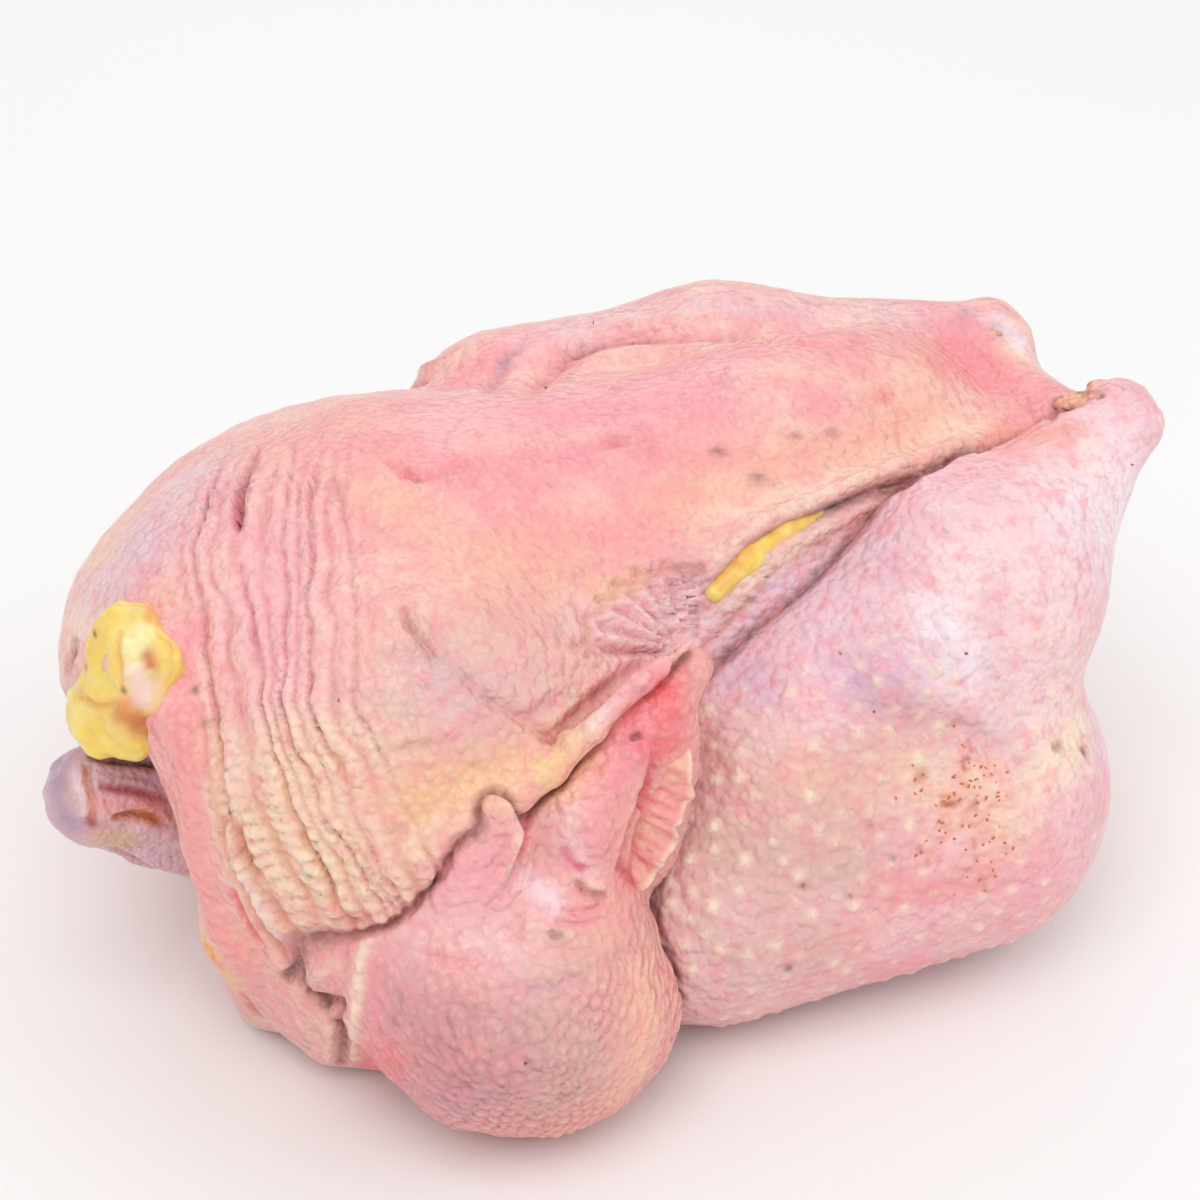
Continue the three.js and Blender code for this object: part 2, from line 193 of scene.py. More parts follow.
@dataclass(frozen=True)
class Carve(Form):
    """A form with another cut out of it."""

    softness: float
    form: Form
    cut: Form

    def distance(self, points: np.ndarray) -> np.ndarray:
        """Signed distances of points."""
        return -soft_min(-self.form.distance(points), self.cut.distance(points), self.softness)


@dataclass(frozen=True)
class Resting(Form):
    """A form that flattens where it rests on the ground, z = 0."""

    form: Form
    softness: float = 4.0

    def distance(self, points: np.ndarray) -> np.ndarray:
        """Signed distances of points."""
        return -soft_min(-self.form.distance(points), points[:, 2], self.softness)


@dataclass(frozen=True)
class Inset(Form):
    """A form drawn in by a distance all over."""

    form: Form
    by: float

    def distance(self, points: np.ndarray) -> np.ndarray:
        """Signed distances of points."""
        return self.form.distance(points) + self.by


@dataclass(frozen=True)
class Mirrored(Form):
    """The form on the bird's left side, tucked closer in."""

    form: Form
    tuck: float

    def distance(self, points: np.ndarray) -> np.ndarray:
        """Signed distances of points."""
        return self.form.distance(points * np.array([1, -1, 1]) - np.array([0, self.tuck, 0]))


@dataclass(frozen=True)
class Strands(Form):
    """A round cone with lengthwise muscles standing out round it."""

    limb: Limb
    count: int
    groove: float

    def distance(self, points: np.ndarray) -> np.ndarray:
        """Signed distances of points."""
        a, b = np.array(self.limb.start[:3]), np.array(self.limb.end[:3])
        drift = (b - a) / (b[0] - a[0])
        off = points - a
        turn = np.arctan2(off[:, 2] - drift[2] * off[:, 0], off[:, 1] - drift[1] * off[:, 0])
        axis = b - a
        along = unit(off @ axis / (axis @ axis))
        away = np.linalg.norm(off - along[:, None] * axis, axis=1)
        full = unit(away / self.limb.end[3]) ** 2 * unit((0.95 - along) / 0.3)
        return self.limb.distance(points) - self.groove * full * np.cos(self.count * turn)


def chain(softness: float, *rounds: Round) -> Blend:
    """A limb with several bends."""
    return Blend(softness, tuple(Limb(a, b) for a, b in zip(rounds, rounds[1:])))


def skin_fold(half: float, *line: Triple) -> Blend:
    """A rounded fold of skin along a line, widest at its middle.

    Args:
        half: half its width in millimetres.
        line: the points along it.

    Returns:
        The fold's form.
    """
    last = len(line) - 1
    widths = [half * max(math.sin(math.pi * n / last), 0.12) ** 0.5 for n in range(last + 1)]
    return chain(2.0, *[(*point, width) for point, width in zip(line, widths)])


# Noise


def unit(values: np.ndarray) -> np.ndarray:
    """Values limited to 0 to 1."""
    return np.clip(values, 0, 1)


def noise(points: np.ndarray, size: float, seed: int) -> np.ndarray:
    """Smooth random values from -1 to 1.

    Args:
        points: rows of x, y and z in millimetres.
        size: the size of one lump in millimetres.
        seed: which pattern.

    Returns:
        One value for each row.
    """
    cells = points / size
    base = np.floor(cells).astype(np.int64)
    inward = cells - base
    ease = inward * inward * (3 - 2 * inward)
    total = np.zeros(len(points))
    for corner in np.ndindex(2, 2, 2):
        spot = base + np.array(corner)
        code = sum(part * factor for part, factor in zip((*spot.T, seed), SCRAMBLE)) & LOW_BITS
        code = ((code ^ (code >> 13)) * SECOND_SCRAMBLE) & LOW_BITS
        value = ((code ^ (code >> 16)) & 0xFFFF) / 32767.5 - 1
        share = np.prod(np.where(np.array(corner) == 1, ease, 1 - ease), axis=1)
        total += share * value
    return total


def rough(points: np.ndarray, size: float, seed: int, layers: int = 3) -> np.ndarray:
    """Noise with finer noise on it."""
    return sum(noise(points, size / 2**n, seed + n) / 2**n for n in range(layers)) / 1.6


# Meshing


@dataclass(frozen=True)
class Net:
    """A grid that turns a form into quads: one vertex in each crossed cell, one quad at each crossed edge.

    Its cells are fine inside the box from fine_low to fine_high, and grow to the coarse size away from it.
    """

    fine: float
    coarse: float | None = None
    fine_low: Triple = (0.0, 0.0, 0.0)
    fine_high: Triple = (0.0, 0.0, 0.0)
    growth: float = 28.0
    block: int = 4

    @staticmethod
    def room(form: Form, pitch: float = 7.0) -> tuple[np.ndarray, np.ndarray]:
        """The box that holds a form.

        Args:
            form: the form.
            pitch: the spacing of the search in millimetres.

        Returns:
            The box's lowest and highest corners.
        """
        spans = [np.arange(low, high, pitch) for low, high in ((-150, 150), (-126, 126), (-12, 146))]
        spots = np.stack(np.meshgrid(*spans, indexing="ij"), axis=-1).reshape(-1, 3)
        held = spots[form.distance(spots) < pitch]
        return held.min(axis=0) - pitch / 2, held.max(axis=0) + pitch / 2

    def ticks(self, low: float, high: float, axis: int) -> np.ndarray:
        """The grid's places along one axis.

        Args:
            low: the room's low end.
            high: the room's high end.
            axis: 0, 1 or 2.

        Returns:
            Rising coordinates, a whole number of blocks of them and one more.
        """
        coarse = self.coarse or self.fine
        places = [low]
        while places[-1] < high or (len(places) - 1) % self.block:
            outside = max(self.fine_low[axis] - places[-1], places[-1] - self.fine_high[axis], 0.0)
            share = min(outside / self.growth, 1.0)
            places.append(places[-1] + self.fine + (coarse - self.fine) * share * share * (3 - 2 * share))
        return np.array(places)

    def values(self, form: Form, ticks: list[np.ndarray]) -> np.ndarray:
        """The form's distances at the grid's points, exact near its surface and right in sign elsewhere.

        Args:
            form: the form to sample.
            ticks: the grid's places along each axis.

        Returns:
            A three-dimensional array.
        """
        blocks = np.array([len(t) - 1 for t in ticks]) // self.block
        thin = [t[:: self.block] for t in ticks]
        coarse = np.stack(np.meshgrid(*thin, indexing="ij"), axis=-1).reshape(-1, 3)
        far = form.distance(coarse).reshape(blocks + 1)
        near = np.full(blocks, np.inf)
        for corner in np.ndindex(2, 2, 2):
            near = np.minimum(near, np.abs(far[tuple(slice(c, c + n) for c, n in zip(corner, blocks))]))
        active = near < max(np.diff(t).max() for t in thin) * 1.2
        rest = far[:-1, :-1, :-1].astype(np.float32)
        for axis in range(3):
            active = np.repeat(active, self.block, axis=axis)
            rest = np.repeat(rest, self.block, axis=axis)
        active = np.pad(active, ((0, 1),) * 3, mode="edge")
        rest = np.pad(rest, ((0, 1),) * 3, mode="edge")
        for axis in range(3):
            active = active | np.roll(active, 1, axis=axis)
        for i in range(0, active.shape[0], 24):
            spots = np.argwhere(active[i : i + 24])
            places = np.stack([ticks[0][spots[:, 0] + i], ticks[1][spots[:, 1]], ticks[2][spots[:, 2]]],
                              axis=1)
            rest[spots[:, 0] + i, spots[:, 1], spots[:, 2]] = form.distance(places)
        return rest

    def mesh(self, form: Form, settle: int = 2) -> tuple[np.ndarray, np.ndarray]:
        """Meshes a form.

        Args:
            form: the form to mesh.
            settle: how many times the vertices are moved onto the surface.

        Returns:
            The vertices and the quads.
        """
        low, high = self.room(form)
        ticks = [self.ticks(low[axis], high[axis], axis) for axis in range(3)]
        value = self.values(form, ticks)
        inside = value < 0
        size = np.array(value.shape) - 1
        some = np.zeros(size, bool)
        every = np.ones(size, bool)
        for corner in np.ndindex(2, 2, 2):
            part = inside[tuple(slice(c, c + n) for c, n in zip(corner, size))]
            some |= part
            every &= part
        cells = np.argwhere(some & ~every)
        total = np.zeros((len(cells), 3))
        crossings = np.zeros(len(cells))
        for axis in range(3):
            step = np.eye(3, dtype=int)[axis]
            for corner in np.ndindex(2, 2, 2):
                if corner[axis] == 1:
                    continue
                near = cells + np.array(corner)
                far = near + step
                a, b = value[tuple(near.T)], value[tuple(far.T)]
                crossed = (a < 0) != (b < 0)
                t = np.where(crossed, a / np.where(crossed, a - b, 1), 0)[:, None]
                from_here = np.stack([ticks[n][near[:, n]] for n in range(3)], axis=1)
                to_there = np.stack([ticks[n][far[:, n]] for n in range(3)], axis=1)
                total += np.where(crossed[:, None], from_here + t * (to_there - from_here), 0)
                crossings += crossed
        points = total / crossings[:, None]
        number = np.full(size, -1, dtype=np.int32)
        number[tuple(cells.T)] = np.arange(len(cells))
        quads = [self.ring(inside, number, axis) for axis in range(3)]
        for _ in range(settle):
            slope = form.slope(points)
            steep = np.maximum(np.sum(slope**2, axis=1), 0.2)
            move = slope * (form.distance(points) / steep)[:, None]
            length = np.linalg.norm(move, axis=1, keepdims=True)
            points = points - move * np.minimum(1, self.fine / np.maximum(length, 1e-9))
        return points, np.concatenate(quads)

    @staticmethod
    def ring(inside: np.ndarray, number: np.ndarray, axis: int) -> np.ndarray:
        """The quads round the crossed edges along one axis.

        Args:
            inside: which grid points lie inside.
            number: each cell's vertex, or -1.
            axis: 0, 1 or 2.

        Returns:
            Rows of four vertices, turned outwards.
        """
        p, q = (axis + 1) % 3, (axis + 2) % 3
        near = [slice(None)] * 3
        far = [slice(None)] * 3
        near[axis], far[axis] = slice(0, -1), slice(1, None)
        starts = inside[tuple(near)]
        edges = np.argwhere(starts != inside[tuple(far)])
        edges = edges[(edges[:, p] > 0) & (edges[:, q] > 0)]
        edges = edges[(edges[:, p] < number.shape[p]) & (edges[:, q] < number.shape[q])]
        outward = starts[tuple(edges.T)]
        ring = []
        for back_p, back_q in ((1, 1), (0, 1), (0, 0), (1, 0)):
            spot = edges.copy()
            spot[:, p] -= back_p
            spot[:, q] -= back_q
            ring.append(number[tuple(spot.T)])
        quads = np.stack(ring, axis=1)
        return np.where(outward[:, None], quads, quads[:, ::-1])


def vertex_normals(points: np.ndarray, faces: np.ndarray) -> np.ndarray:
    """Unit normals at the vertices of a quad mesh.

    Args:
        points: the vertices.
        faces: rows of four vertices.

    Returns:
        One unit vector for each vertex.
    """
    across = np.cross(points[faces[:, 2]] - points[faces[:, 0]], points[faces[:, 3]] - points[faces[:, 1]])
    total = np.zeros_like(points)
    for column in range(4):
        np.add.at(total, faces[:, column], across)
    return total / np.maximum(np.linalg.norm(total, axis=1, keepdims=True), 1e-12)


# The viewpoint


@dataclass(frozen=True)
class Viewpoint:
    """The camera that looks down on the bird's right side. Pixels are those of its square picture."""

    azimuth: float = -20.0
    elevation: float = 34.0
    lens: float = 85.0
    sensor: float = 36.0
    picture: int = 1200
    distance: float = 640.0
    aim: Triple = (0.0, -3.2, 72.0)

    def axes(self) -> tuple[np.ndarray, np.ndarray, np.ndarray]:
        """Unit vectors to the camera's right, up and back."""
        a, e = math.radians(self.azimuth), math.radians(self.elevation)
        back = np.array([math.sin(a) * math.cos(e), -math.cos(a) * math.cos(e), math.sin(e)])
        right = np.array([math.cos(a), math.sin(a), 0.0])
        return right, np.cross(back, right), back

    def land(self, pixels: Sequence[Pixel], form: Form) -> np.ndarray:
        """The points of a form that lie behind pixels of the picture.

        Args:
            pixels: columns and rows, from the picture's upper left.
            form: the form that is looked at.

        Returns:
            One point for each pixel, or the nearest miss.
        """
        right, up, back = self.axes()
        start = np.array(self.aim) + back * self.distance
        scale = self.lens / self.sensor * self.picture
        half = self.picture / 2
        spots = np.array(pixels, float)
        rays = -back + (spots[:, :1] - half) / scale * right - (spots[:, 1:] - half) / scale * up
        rays /= np.linalg.norm(rays, axis=1, keepdims=True)
        travel = np.full(len(spots), self.distance - 190.0)
        best = np.full(len(spots), np.inf)
        kept = travel.copy()
        for _ in range(90):
            gap = form.distance(start + rays * travel[:, None])
            closer = np.abs(gap) < best
            kept = np.where(closer, travel, kept)
            best = np.where(closer, np.abs(gap), best)
            travel = travel + np.where(gap > 0.02, gap * 0.75, 0.0)
        return start + rays * kept[:, None]

    def pixels_of(self, points: np.ndarray) -> np.ndarray:
        """Where points show in the picture.

        Args:
            points: rows of x, y and z in millimetres.

        Returns:
            Rows of column and row.
        """
        right, up, back = self.axes()
        off = points - np.array(self.aim) - back * self.distance
        scale = self.lens / self.sensor * self.picture / -(off @ back)
        half = self.picture / 2
        return np.stack([half + scale * (off @ right), half - scale * (off @ up)], axis=1)

    def camera(self) -> bpy.types.Object:
        """Makes the scene's camera."""
        right, up, back = self.axes()
        data = bpy.data.cameras.new("photo_camera")
        data.lens = self.lens
        data.sensor_width = self.sensor
        made = bpy.data.objects.new("photo_camera", data)
        place = np.array(self.aim) - CENTRE + back * self.distance
        turn = Matrix((right, up, back)).transposed().to_4x4()
        made.matrix_world = Matrix.Translation(Vector(place / 1000)) @ turn
        bpy.context.scene.collection.objects.link(made)
        bpy.context.scene.camera = made
        return made


# Strokes of relief and colour


@dataclass(frozen=True)
class Stroke:
    """A crease, ridge, fold or stain, drawn as a line over the bird by the pixels that it passes. Its tone
    is painted along the line: a dark tone in a groove stands mostly for painted shade in the crease, a pale
    tone on a ridge for a painted highlight, and other tones are the skin's own colour.
    """

    pixels: tuple[Pixel, ...]
    tone: Tone = Tone.VALLEY
    share: float = 0.8
    spread: float = 1.2
    profile: Profile = Profile.GROOVE
    height: float = 1.2
    width: float = 1.1
    taper: float = 0.35

    def line(self, view: Viewpoint, form: Form, between: int = 5) -> np.ndarray:
        """The stroke's points on the bird, curved smoothly through its pixels.

        Args:
            view: the viewpoint of the pixels.
            form: the form that carries the stroke.
            between: how many steps from pixel to pixel.

        Returns:
            Rows of x, y and z.
        """
        corners = np.array(self.pixels, float)
        if len(corners) == 1:
            return view.land(corners, form)
        padded = np.concatenate([[2 * corners[0] - corners[1]], corners, [2 * corners[-1] - corners[-2]]])
        smooth = []
        for n in range(len(corners) - 1):
            p0, p1, p2, p3 = padded[n : n + 4]
            for t in np.arange(between) / between:
                bend = 2 * p0 - 5 * p1 + 4 * p2 - p3
                smooth.append(p1 + 0.5 * t * (p2 - p0 + t * (bend + t * (3 * p1 - p0 - 3 * p2 + p3))))
        smooth.append(corners[-1])
        return view.land(smooth, form)


def groove(*pixels: Pixel, depth: float = 1.5, width: float = 1.1, tone: Tone = Tone.VALLEY,
           **more) -> Stroke:
    """A crease pressed into the skin, through the pixels given, with Stroke's other sizes. Its tone, VALLEY
    unless given, is painted along the crease: the dark tones are mostly painted shade in the crease, the
    red and pink ones the skin's own colour.
    """
    return Stroke(pixels, tone=tone, height=depth, width=width, **more)


def ridge(*pixels: Pixel, height: float = 1.2, width: float = 1.6, tone: Tone = Tone.CREAM,
          **more) -> Stroke:
    """A rounded ridge, through the pixels given, with Stroke's other sizes. Its tone, CREAM unless given,
    is painted along the crest: a pale tone is a painted highlight, a pink or salmon one the skin's own
    colour.
    """
    more = {"share": 0.45, "spread": 1.6} | more
    return Stroke(pixels, tone=tone, height=height, width=width, profile=Profile.RIDGE, **more)


def stain(tone: Tone, *pixels: Pixel, spread: float = 8.0, share: float = 0.6) -> Stroke:
    """Colour alone, round the pixels given."""
    return Stroke(pixels, tone=tone, share=share, spread=spread, profile=Profile.FLAT, height=0.0,
                  taper=0.0)


SHOULDER_SLITS = (
    groove((256, 450), (250, 468), (243, 490), (240, 512), (236, 530), depth=1.2, width=0.8,
        tone=Tone.WRINKLE, spread=0.9),
    groove((243, 488), (241, 508), (238, 527), tone=Tone.RED, depth=1.4, width=0.9, share=0.95,
        spread=1.3),
    groove((336, 480), (337, 502), depth=0.7, width=0.8, share=0.5),
)
SHOULDER_CREASES = (
    # The shoulder crease: painted shade in it, and a painted highlight on the ridge beside it.
    groove((401, 606), (408, 622), (420, 642), (430, 656), (434, 668), depth=1.2, width=0.8,
        tone=Tone.VALLEY, share=0.65, spread=0.9),
    ridge((408, 606), (418, 622), (432, 644), height=1.0, width=1.5, share=0.5),
    groove((372, 650), (396, 654), (418, 662), depth=0.5, width=1.4, tone=Tone.MAUVE, share=0.3,
        spread=2),
    groove((455, 672), (473, 687), (492, 702), (512, 713), (530, 725), (547, 738), (568, 750), depth=1.4,
        width=1.2, share=0.45),
    groove((380, 756), (396, 751), (430, 746), (462, 738), depth=0.7, share=0.3),
    stain(Tone.MAUVE, (434, 664), (470, 690), spread=5),
    stain(Tone.LILAC, (430, 690), (470, 706), (500, 700), spread=7),
    stain(Tone.ROSE, (480, 722), (510, 716), (540, 735), (514, 750), spread=3, share=0.5),
    stain(Tone.YELLOW_SKIN, (430, 800), (490, 780), (560, 765), spread=9, share=0.8),
    stain(Tone.CREAM, (330, 740), (380, 720), share=0.5),
    stain(Tone.BEIGE, (400, 700), (480, 640), (560, 640), spread=13, share=0.5),
    stain(Tone.BEIGE, (540, 690), (480, 720), share=0.5),
)
ARMPIT = (
    stain(Tone.BLUSH, (596, 630), (640, 620), (690, 610)),
    stain(Tone.YELLOW_SKIN, (600, 588), (640, 584), spread=3, share=0.5),
    groove((584, 656), (606, 652), (630, 651), (660, 652), (684, 652), depth=0.9, width=0.8,
        tone=Tone.VALLEY, share=0.45, spread=0.9),
    groove((646, 660), (626, 672), (602, 690), (582, 708), (560, 728), (546, 740), depth=1.1, width=1.0,
        tone=Tone.VALLEY, share=0.6),
    ridge((586, 732), (612, 704), (640, 682), (672, 664), height=1.4, width=2.4, tone=Tone.PEARL,
        share=0.5),
    groove((572, 690), (548, 704), (524, 716), depth=0.7, width=1.2, tone=Tone.MAUVE, share=0.5),
    stain(Tone.MAUVE, (686, 576), (704, 596), spread=4, share=0.8),
    stain(Tone.CORAL, (662, 690), (650, 720), (640, 744), spread=4, share=0.9),
)
HEM_LINES = (
    groove((332, 920), (350, 921), (372, 918), depth=1.4, width=1.0, tone=Tone.RED),
    ridge((368, 890), (394, 866), (418, 840), (446, 812), height=1.0, width=1.8),
    ridge((338, 908), (356, 896), (374, 880), height=1.0, width=1.8),
)
SEAM_LINES = (
    # The gap between breast and leg: painted shade in its dark groove, and a painted highlight on the ridge
    # of the breast's lip.
    groove((712, 588), (736, 566), (762, 543), (800, 524), (848, 502), (883, 488), (928, 474), (962, 452),
        (984, 450), depth=2.6, width=1.5, tone=Tone.DARK, share=0.9, spread=1.4),
    ridge((712, 566), (760, 524), (820, 500), (880, 474), (940, 446), height=1.6, width=2.4,
        tone=Tone.CREAM, share=0.5),
    groove((700, 652), (714, 640), (732, 620), (748, 602), (770, 570), depth=0.8, width=0.8,
        tone=Tone.OCHRE, share=0.6, spread=0.9),
    ridge((726, 612), (760, 574), (800, 544), (850, 518), height=1.0, width=2.0, share=0.6),
    stain(Tone.CREAM, (726, 602), (752, 574), (790, 546), spread=2.6, share=0.7),
    stain(Tone.CREAM, (955, 430), (972, 426), spread=4, share=0.7),
)
BREAST_LINES = (
    groove((528, 398), (540, 384), (562, 362), (586, 345), (632, 335), (680, 334), (724, 334), (770, 340),
        (842, 342), (884, 330), depth=2.6, width=2.4, tone=Tone.ROSE, share=0.8, spread=1.8),
    groove((540, 384), (562, 362), (586, 345), (632, 336), (660, 335), depth=0.8, width=0.8,
        tone=Tone.VALLEY, share=0.6, spread=0.8),
    stain(Tone.ROSE, (740, 350), (800, 356), (880, 350), spread=5, share=0.5),
    stain(Tone.ROSE, (560, 410), (640, 400), (720, 400), spread=10, share=0.45),
    stain(Tone.SALMON, (520, 540), (580, 545), (640, 530), spread=9, share=0.55),
    stain(Tone.SALMON, (780, 470), (850, 455), (910, 430), spread=7, share=0.5),
    groove((496, 366), (512, 352), (524, 340), depth=1.2, width=1.5, tone=Tone.MAUVE),
    groove((486, 392), (500, 374), (508, 352), depth=1.2, width=1.4, tone=Tone.MAUVE),
    groove((538, 462), (580, 452), (620, 444), (656, 436), depth=0.7, width=1.2, tone=Tone.ROSE,
        share=0.6),
    groove((612, 392), (624, 386), (640, 383), depth=0.8, width=0.9, tone=Tone.RED),
    groove((604, 446), (618, 442), (632, 440), depth=0.8, width=0.9, tone=Tone.RED),
    groove((388, 458), (400, 470), (418, 478), (440, 474), (470, 466), depth=1.0, tone=Tone.CORAL,
        share=0.7),
    groove((392, 376), (410, 386), (430, 382), depth=1.2, width=1.2, tone=Tone.RED, share=0.7),
    ridge((400, 368), (420, 372), (438, 366), height=1.4, width=2.0, tone=Tone.ROSE),
    stain(Tone.PINK, (470, 420), (560, 400), (700, 390), spread=12, share=0.7),
    stain(Tone.ROSE, (480, 480), (600, 470), (700, 440), share=0.45),
    stain(Tone.PEACH, (680, 500), (760, 480), (860, 450), (930, 420)),
    stain(Tone.CREAM, (720, 520), (800, 492), (880, 462), (940, 440), spread=4, share=0.5),
    stain(Tone.LILAC, (560, 330), (700, 305), (850, 312), (950, 320), share=0.4),
    stain(Tone.PEACH, (400, 500), (470, 560), (560, 570), spread=9),
    stain(Tone.CORAL, (884, 395), spread=2.5),
    stain(Tone.CORAL, (930, 360), (960, 356), (1000, 380), spread=7, share=0.4),
    stain(Tone.RED, (410, 474), spread=1.6),
    *(stain(Tone.DARK, spot, spread=1.1, share=0.8)
      for spot in ((726, 380), (721, 451), (793, 436), (835, 433), (754, 477), (765, 484))),
    stain(Tone.ROSE, (540, 410), (620, 408), (700, 400), spread=6, share=0.4),
    stain(Tone.ROSE, (400, 448), (430, 470), (520, 462), spread=5),
    stain(Tone.LILAC, (96, 590), (150, 540), share=0.5),
    stain(Tone.MAGENTA, (640, 430), (650, 450), spread=2.4, share=0.3),
)
CROP_LINES = (
    stain(Tone.SALMON, (300, 440), (380, 405), (330, 500), spread=13, share=0.5),
    stain(Tone.LILAC, (160, 520), (120, 580), (200, 470), spread=10),
    stain(Tone.CREAM, (100, 560), (80, 620)),
    stain(Tone.PINK, (270, 560), (260, 640), (300, 680), spread=12, share=0.7),
    stain(Tone.CREAM, (280, 780), (340, 850), (260, 840), spread=12, share=0.65),
    groove((75, 636), (72, 656), (66, 672), depth=1.0, width=1.0),
)
COLLAR_LINES = (
    stain(Tone.SALMON, (185, 720), (190, 790), (196, 850), (215, 920), (245, 960), spread=6, share=0.85),
    ridge((176, 700), (182, 760), (188, 820), (200, 880), (226, 940), (256, 980), width=4.0,
        tone=Tone.SALMON, share=0.6),
    groove((214, 716), (222, 760), (226, 810), (234, 860), (250, 896), (268, 930), (288, 962), depth=1.8,
        width=1.1, tone=Tone.OCHRE, share=0.8),
    ridge((226, 752), (232, 810), (242, 860), (262, 902), (282, 940), height=1.4, width=1.8,
        tone=Tone.PEARL, share=0.8),
    groove((231, 888), (240, 906), (252, 928), (264, 946), depth=1.2, width=1.0, tone=Tone.CORAL,
        share=1.0),
    stain(Tone.YELLOW_SKIN, (178, 894), (196, 928), (216, 960), (232, 984), spread=3, share=0.9),
    stain(Tone.ORANGE, (206, 946), (222, 970), spread=1.4, share=0.8),
    groove((240, 994), (252, 1006), (263, 1018), depth=0.8, width=1.0, tone=Tone.RED, share=0.6),
    groove((282, 980), (292, 974), (304, 968), depth=2.2, width=1.4, tone=Tone.DARK),
    groove((306, 992), (324, 1000), (346, 1004), depth=2.4, width=1.6, tone=Tone.BROWN),
    ridge((306, 978), (324, 970), (342, 962), height=1.4, width=2.0),
    groove((338, 1000), (344, 1034), (340, 1066), depth=1.6, width=1.2, tone=Tone.BROWN),
    ridge((330, 1004), (330, 1036), (328, 1062), width=1.8),
    stain(Tone.BROWN, (196, 690), spread=1.0, share=0.8),
    stain(Tone.BROWN, (208, 723), spread=1.2, share=0.7),
)
LEG_LINES = (
    stain(Tone.LILAC, (730, 640), (800, 590), (870, 560), spread=13, share=0.8),
    stain(Tone.VIOLET, (738, 676), (762, 690), spread=6, share=0.55),
    stain(Tone.VIOLET, (850, 676), (884, 684), (906, 676), spread=6),
    stain(Tone.ROSE, (812, 696), spread=4, share=0.5),
    stain(Tone.MAUVE, (860, 640), (900, 620), spread=6, share=0.3),
    stain(Tone.MAGENTA, (896, 560), (912, 578), spread=3, share=0.35),
    # Painted highlight on the drumstick's bulge.
    stain(Tone.PEARL, (940, 620), (955, 650), (975, 670), share=1.0),
    stain(Tone.BLUSH, (990, 560), (1050, 600), (1060, 690), spread=14, share=0.9),
    stain(Tone.BLUSH, (1000, 700), (1040, 720), share=0.8),
    stain(Tone.PEARL, (1060, 520), (1090, 480), (1100, 540), spread=10, share=0.7),
    stain(Tone.BEIGE, (740, 760), (820, 800), (900, 760), spread=14),
    stain(Tone.PEACH, (800, 770), (860, 790), (910, 770), spread=7, share=0.5),
    stain(Tone.CREAM, (930, 780), (990, 790), (1010, 830), spread=7),
    stain(Tone.CREAM, (1040, 780), (1060, 760), (1078, 730), spread=6, share=0.85),
    stain(Tone.CORAL, (880, 890), (930, 890), (980, 880), spread=5, share=0.4),
    stain(Tone.PINK, (1010, 900), (1050, 880), (1050, 920), spread=10),
    stain(Tone.ROSE, (890, 968), (940, 962), (985, 950), spread=5),
    stain(Tone.BEIGE, (700, 930), (740, 960), (820, 950), spread=9, share=0.7),
    stain(Tone.BEIGE, (720, 850), (770, 870), (830, 860), spread=12, share=0.85),
    groove((846, 690), (872, 704), (900, 716), (930, 726), (968, 736), (1002, 746), (1034, 776), depth=1.8,
        width=3.2, tone=Tone.MAUVE, share=0.35, spread=4),
    groove((1016, 560), (1000, 600), (990, 640), (994, 690), (1010, 730), depth=0.8, width=3.0,
        tone=Tone.LILAC, share=0.3, spread=3),
    # Painted highlight along the drumstick's bulge, on a low ridge.
    ridge((936, 610), (952, 640), (972, 672), height=1.8, width=5.5, tone=Tone.PEARL, share=0.5,
        spread=5),
    groove((1052, 748), (1062, 744), depth=0.6, width=0.8, tone=Tone.BROWN),
    groove((1081, 747), (1086, 756), depth=0.6, width=0.8, tone=Tone.BROWN),
    stain(Tone.DARK, (892, 859), spread=0.8, share=0.8),
    stain(Tone.BROWN, (850, 897), spread=0.7, share=0.7),
    stain(Tone.BROWN, (803, 886), spread=0.8, share=0.8),
    stain(Tone.DARK, (788, 968), spread=0.9, share=0.8),
    stain(Tone.BROWN, (870, 825), spread=0.8, share=0.8),
    groove((1053, 404), (1054, 414), (1051, 424), depth=1.0, width=0.9, tone=Tone.DARK),
    groove((1066, 424), (1064, 434), depth=0.6, width=0.8, tone=Tone.RED),
    groove((1081, 420), (1079, 427), depth=0.6, width=0.8, tone=Tone.RED),
    groove((990, 322), (998, 332), (1002, 338), depth=0.8, width=0.8, tone=Tone.BROWN),
    stain(Tone.VALLEY, (998, 316), spread=1.6, share=0.7),
    stain(Tone.CREAM, (1010, 345), (1028, 360), spread=3, share=0.8),
    stain(Tone.ROSE, (960, 340), (990, 380), (1040, 400), spread=7, share=0.8),
    stain(Tone.SALMON, (990, 430), (1040, 430), (1075, 430), spread=7, share=0.9),
    stain(Tone.ORANGE, (1000, 440), (1050, 436), spread=5, share=0.22),
    stain(Tone.PEARL, (1000, 320), (1022, 344), spread=3.5, share=0.8),
    stain(Tone.CREAM, (1085, 440), (1092, 466), spread=2.4, share=0.7),
    stain(Tone.PEARL, (1110, 440), (1125, 480), (1110, 540), spread=9, share=0.8),
    stain(Tone.ORANGE, (1082, 378), (1092, 386), spread=2.2, share=0.8),
    groove((1094, 394), (1104, 396), depth=0.5, width=0.7, tone=Tone.DARK, spread=0.9, share=0.9),
    groove((962, 305), (966, 316), (962, 326), depth=0.8, width=1.0, tone=Tone.MAUVE),
)
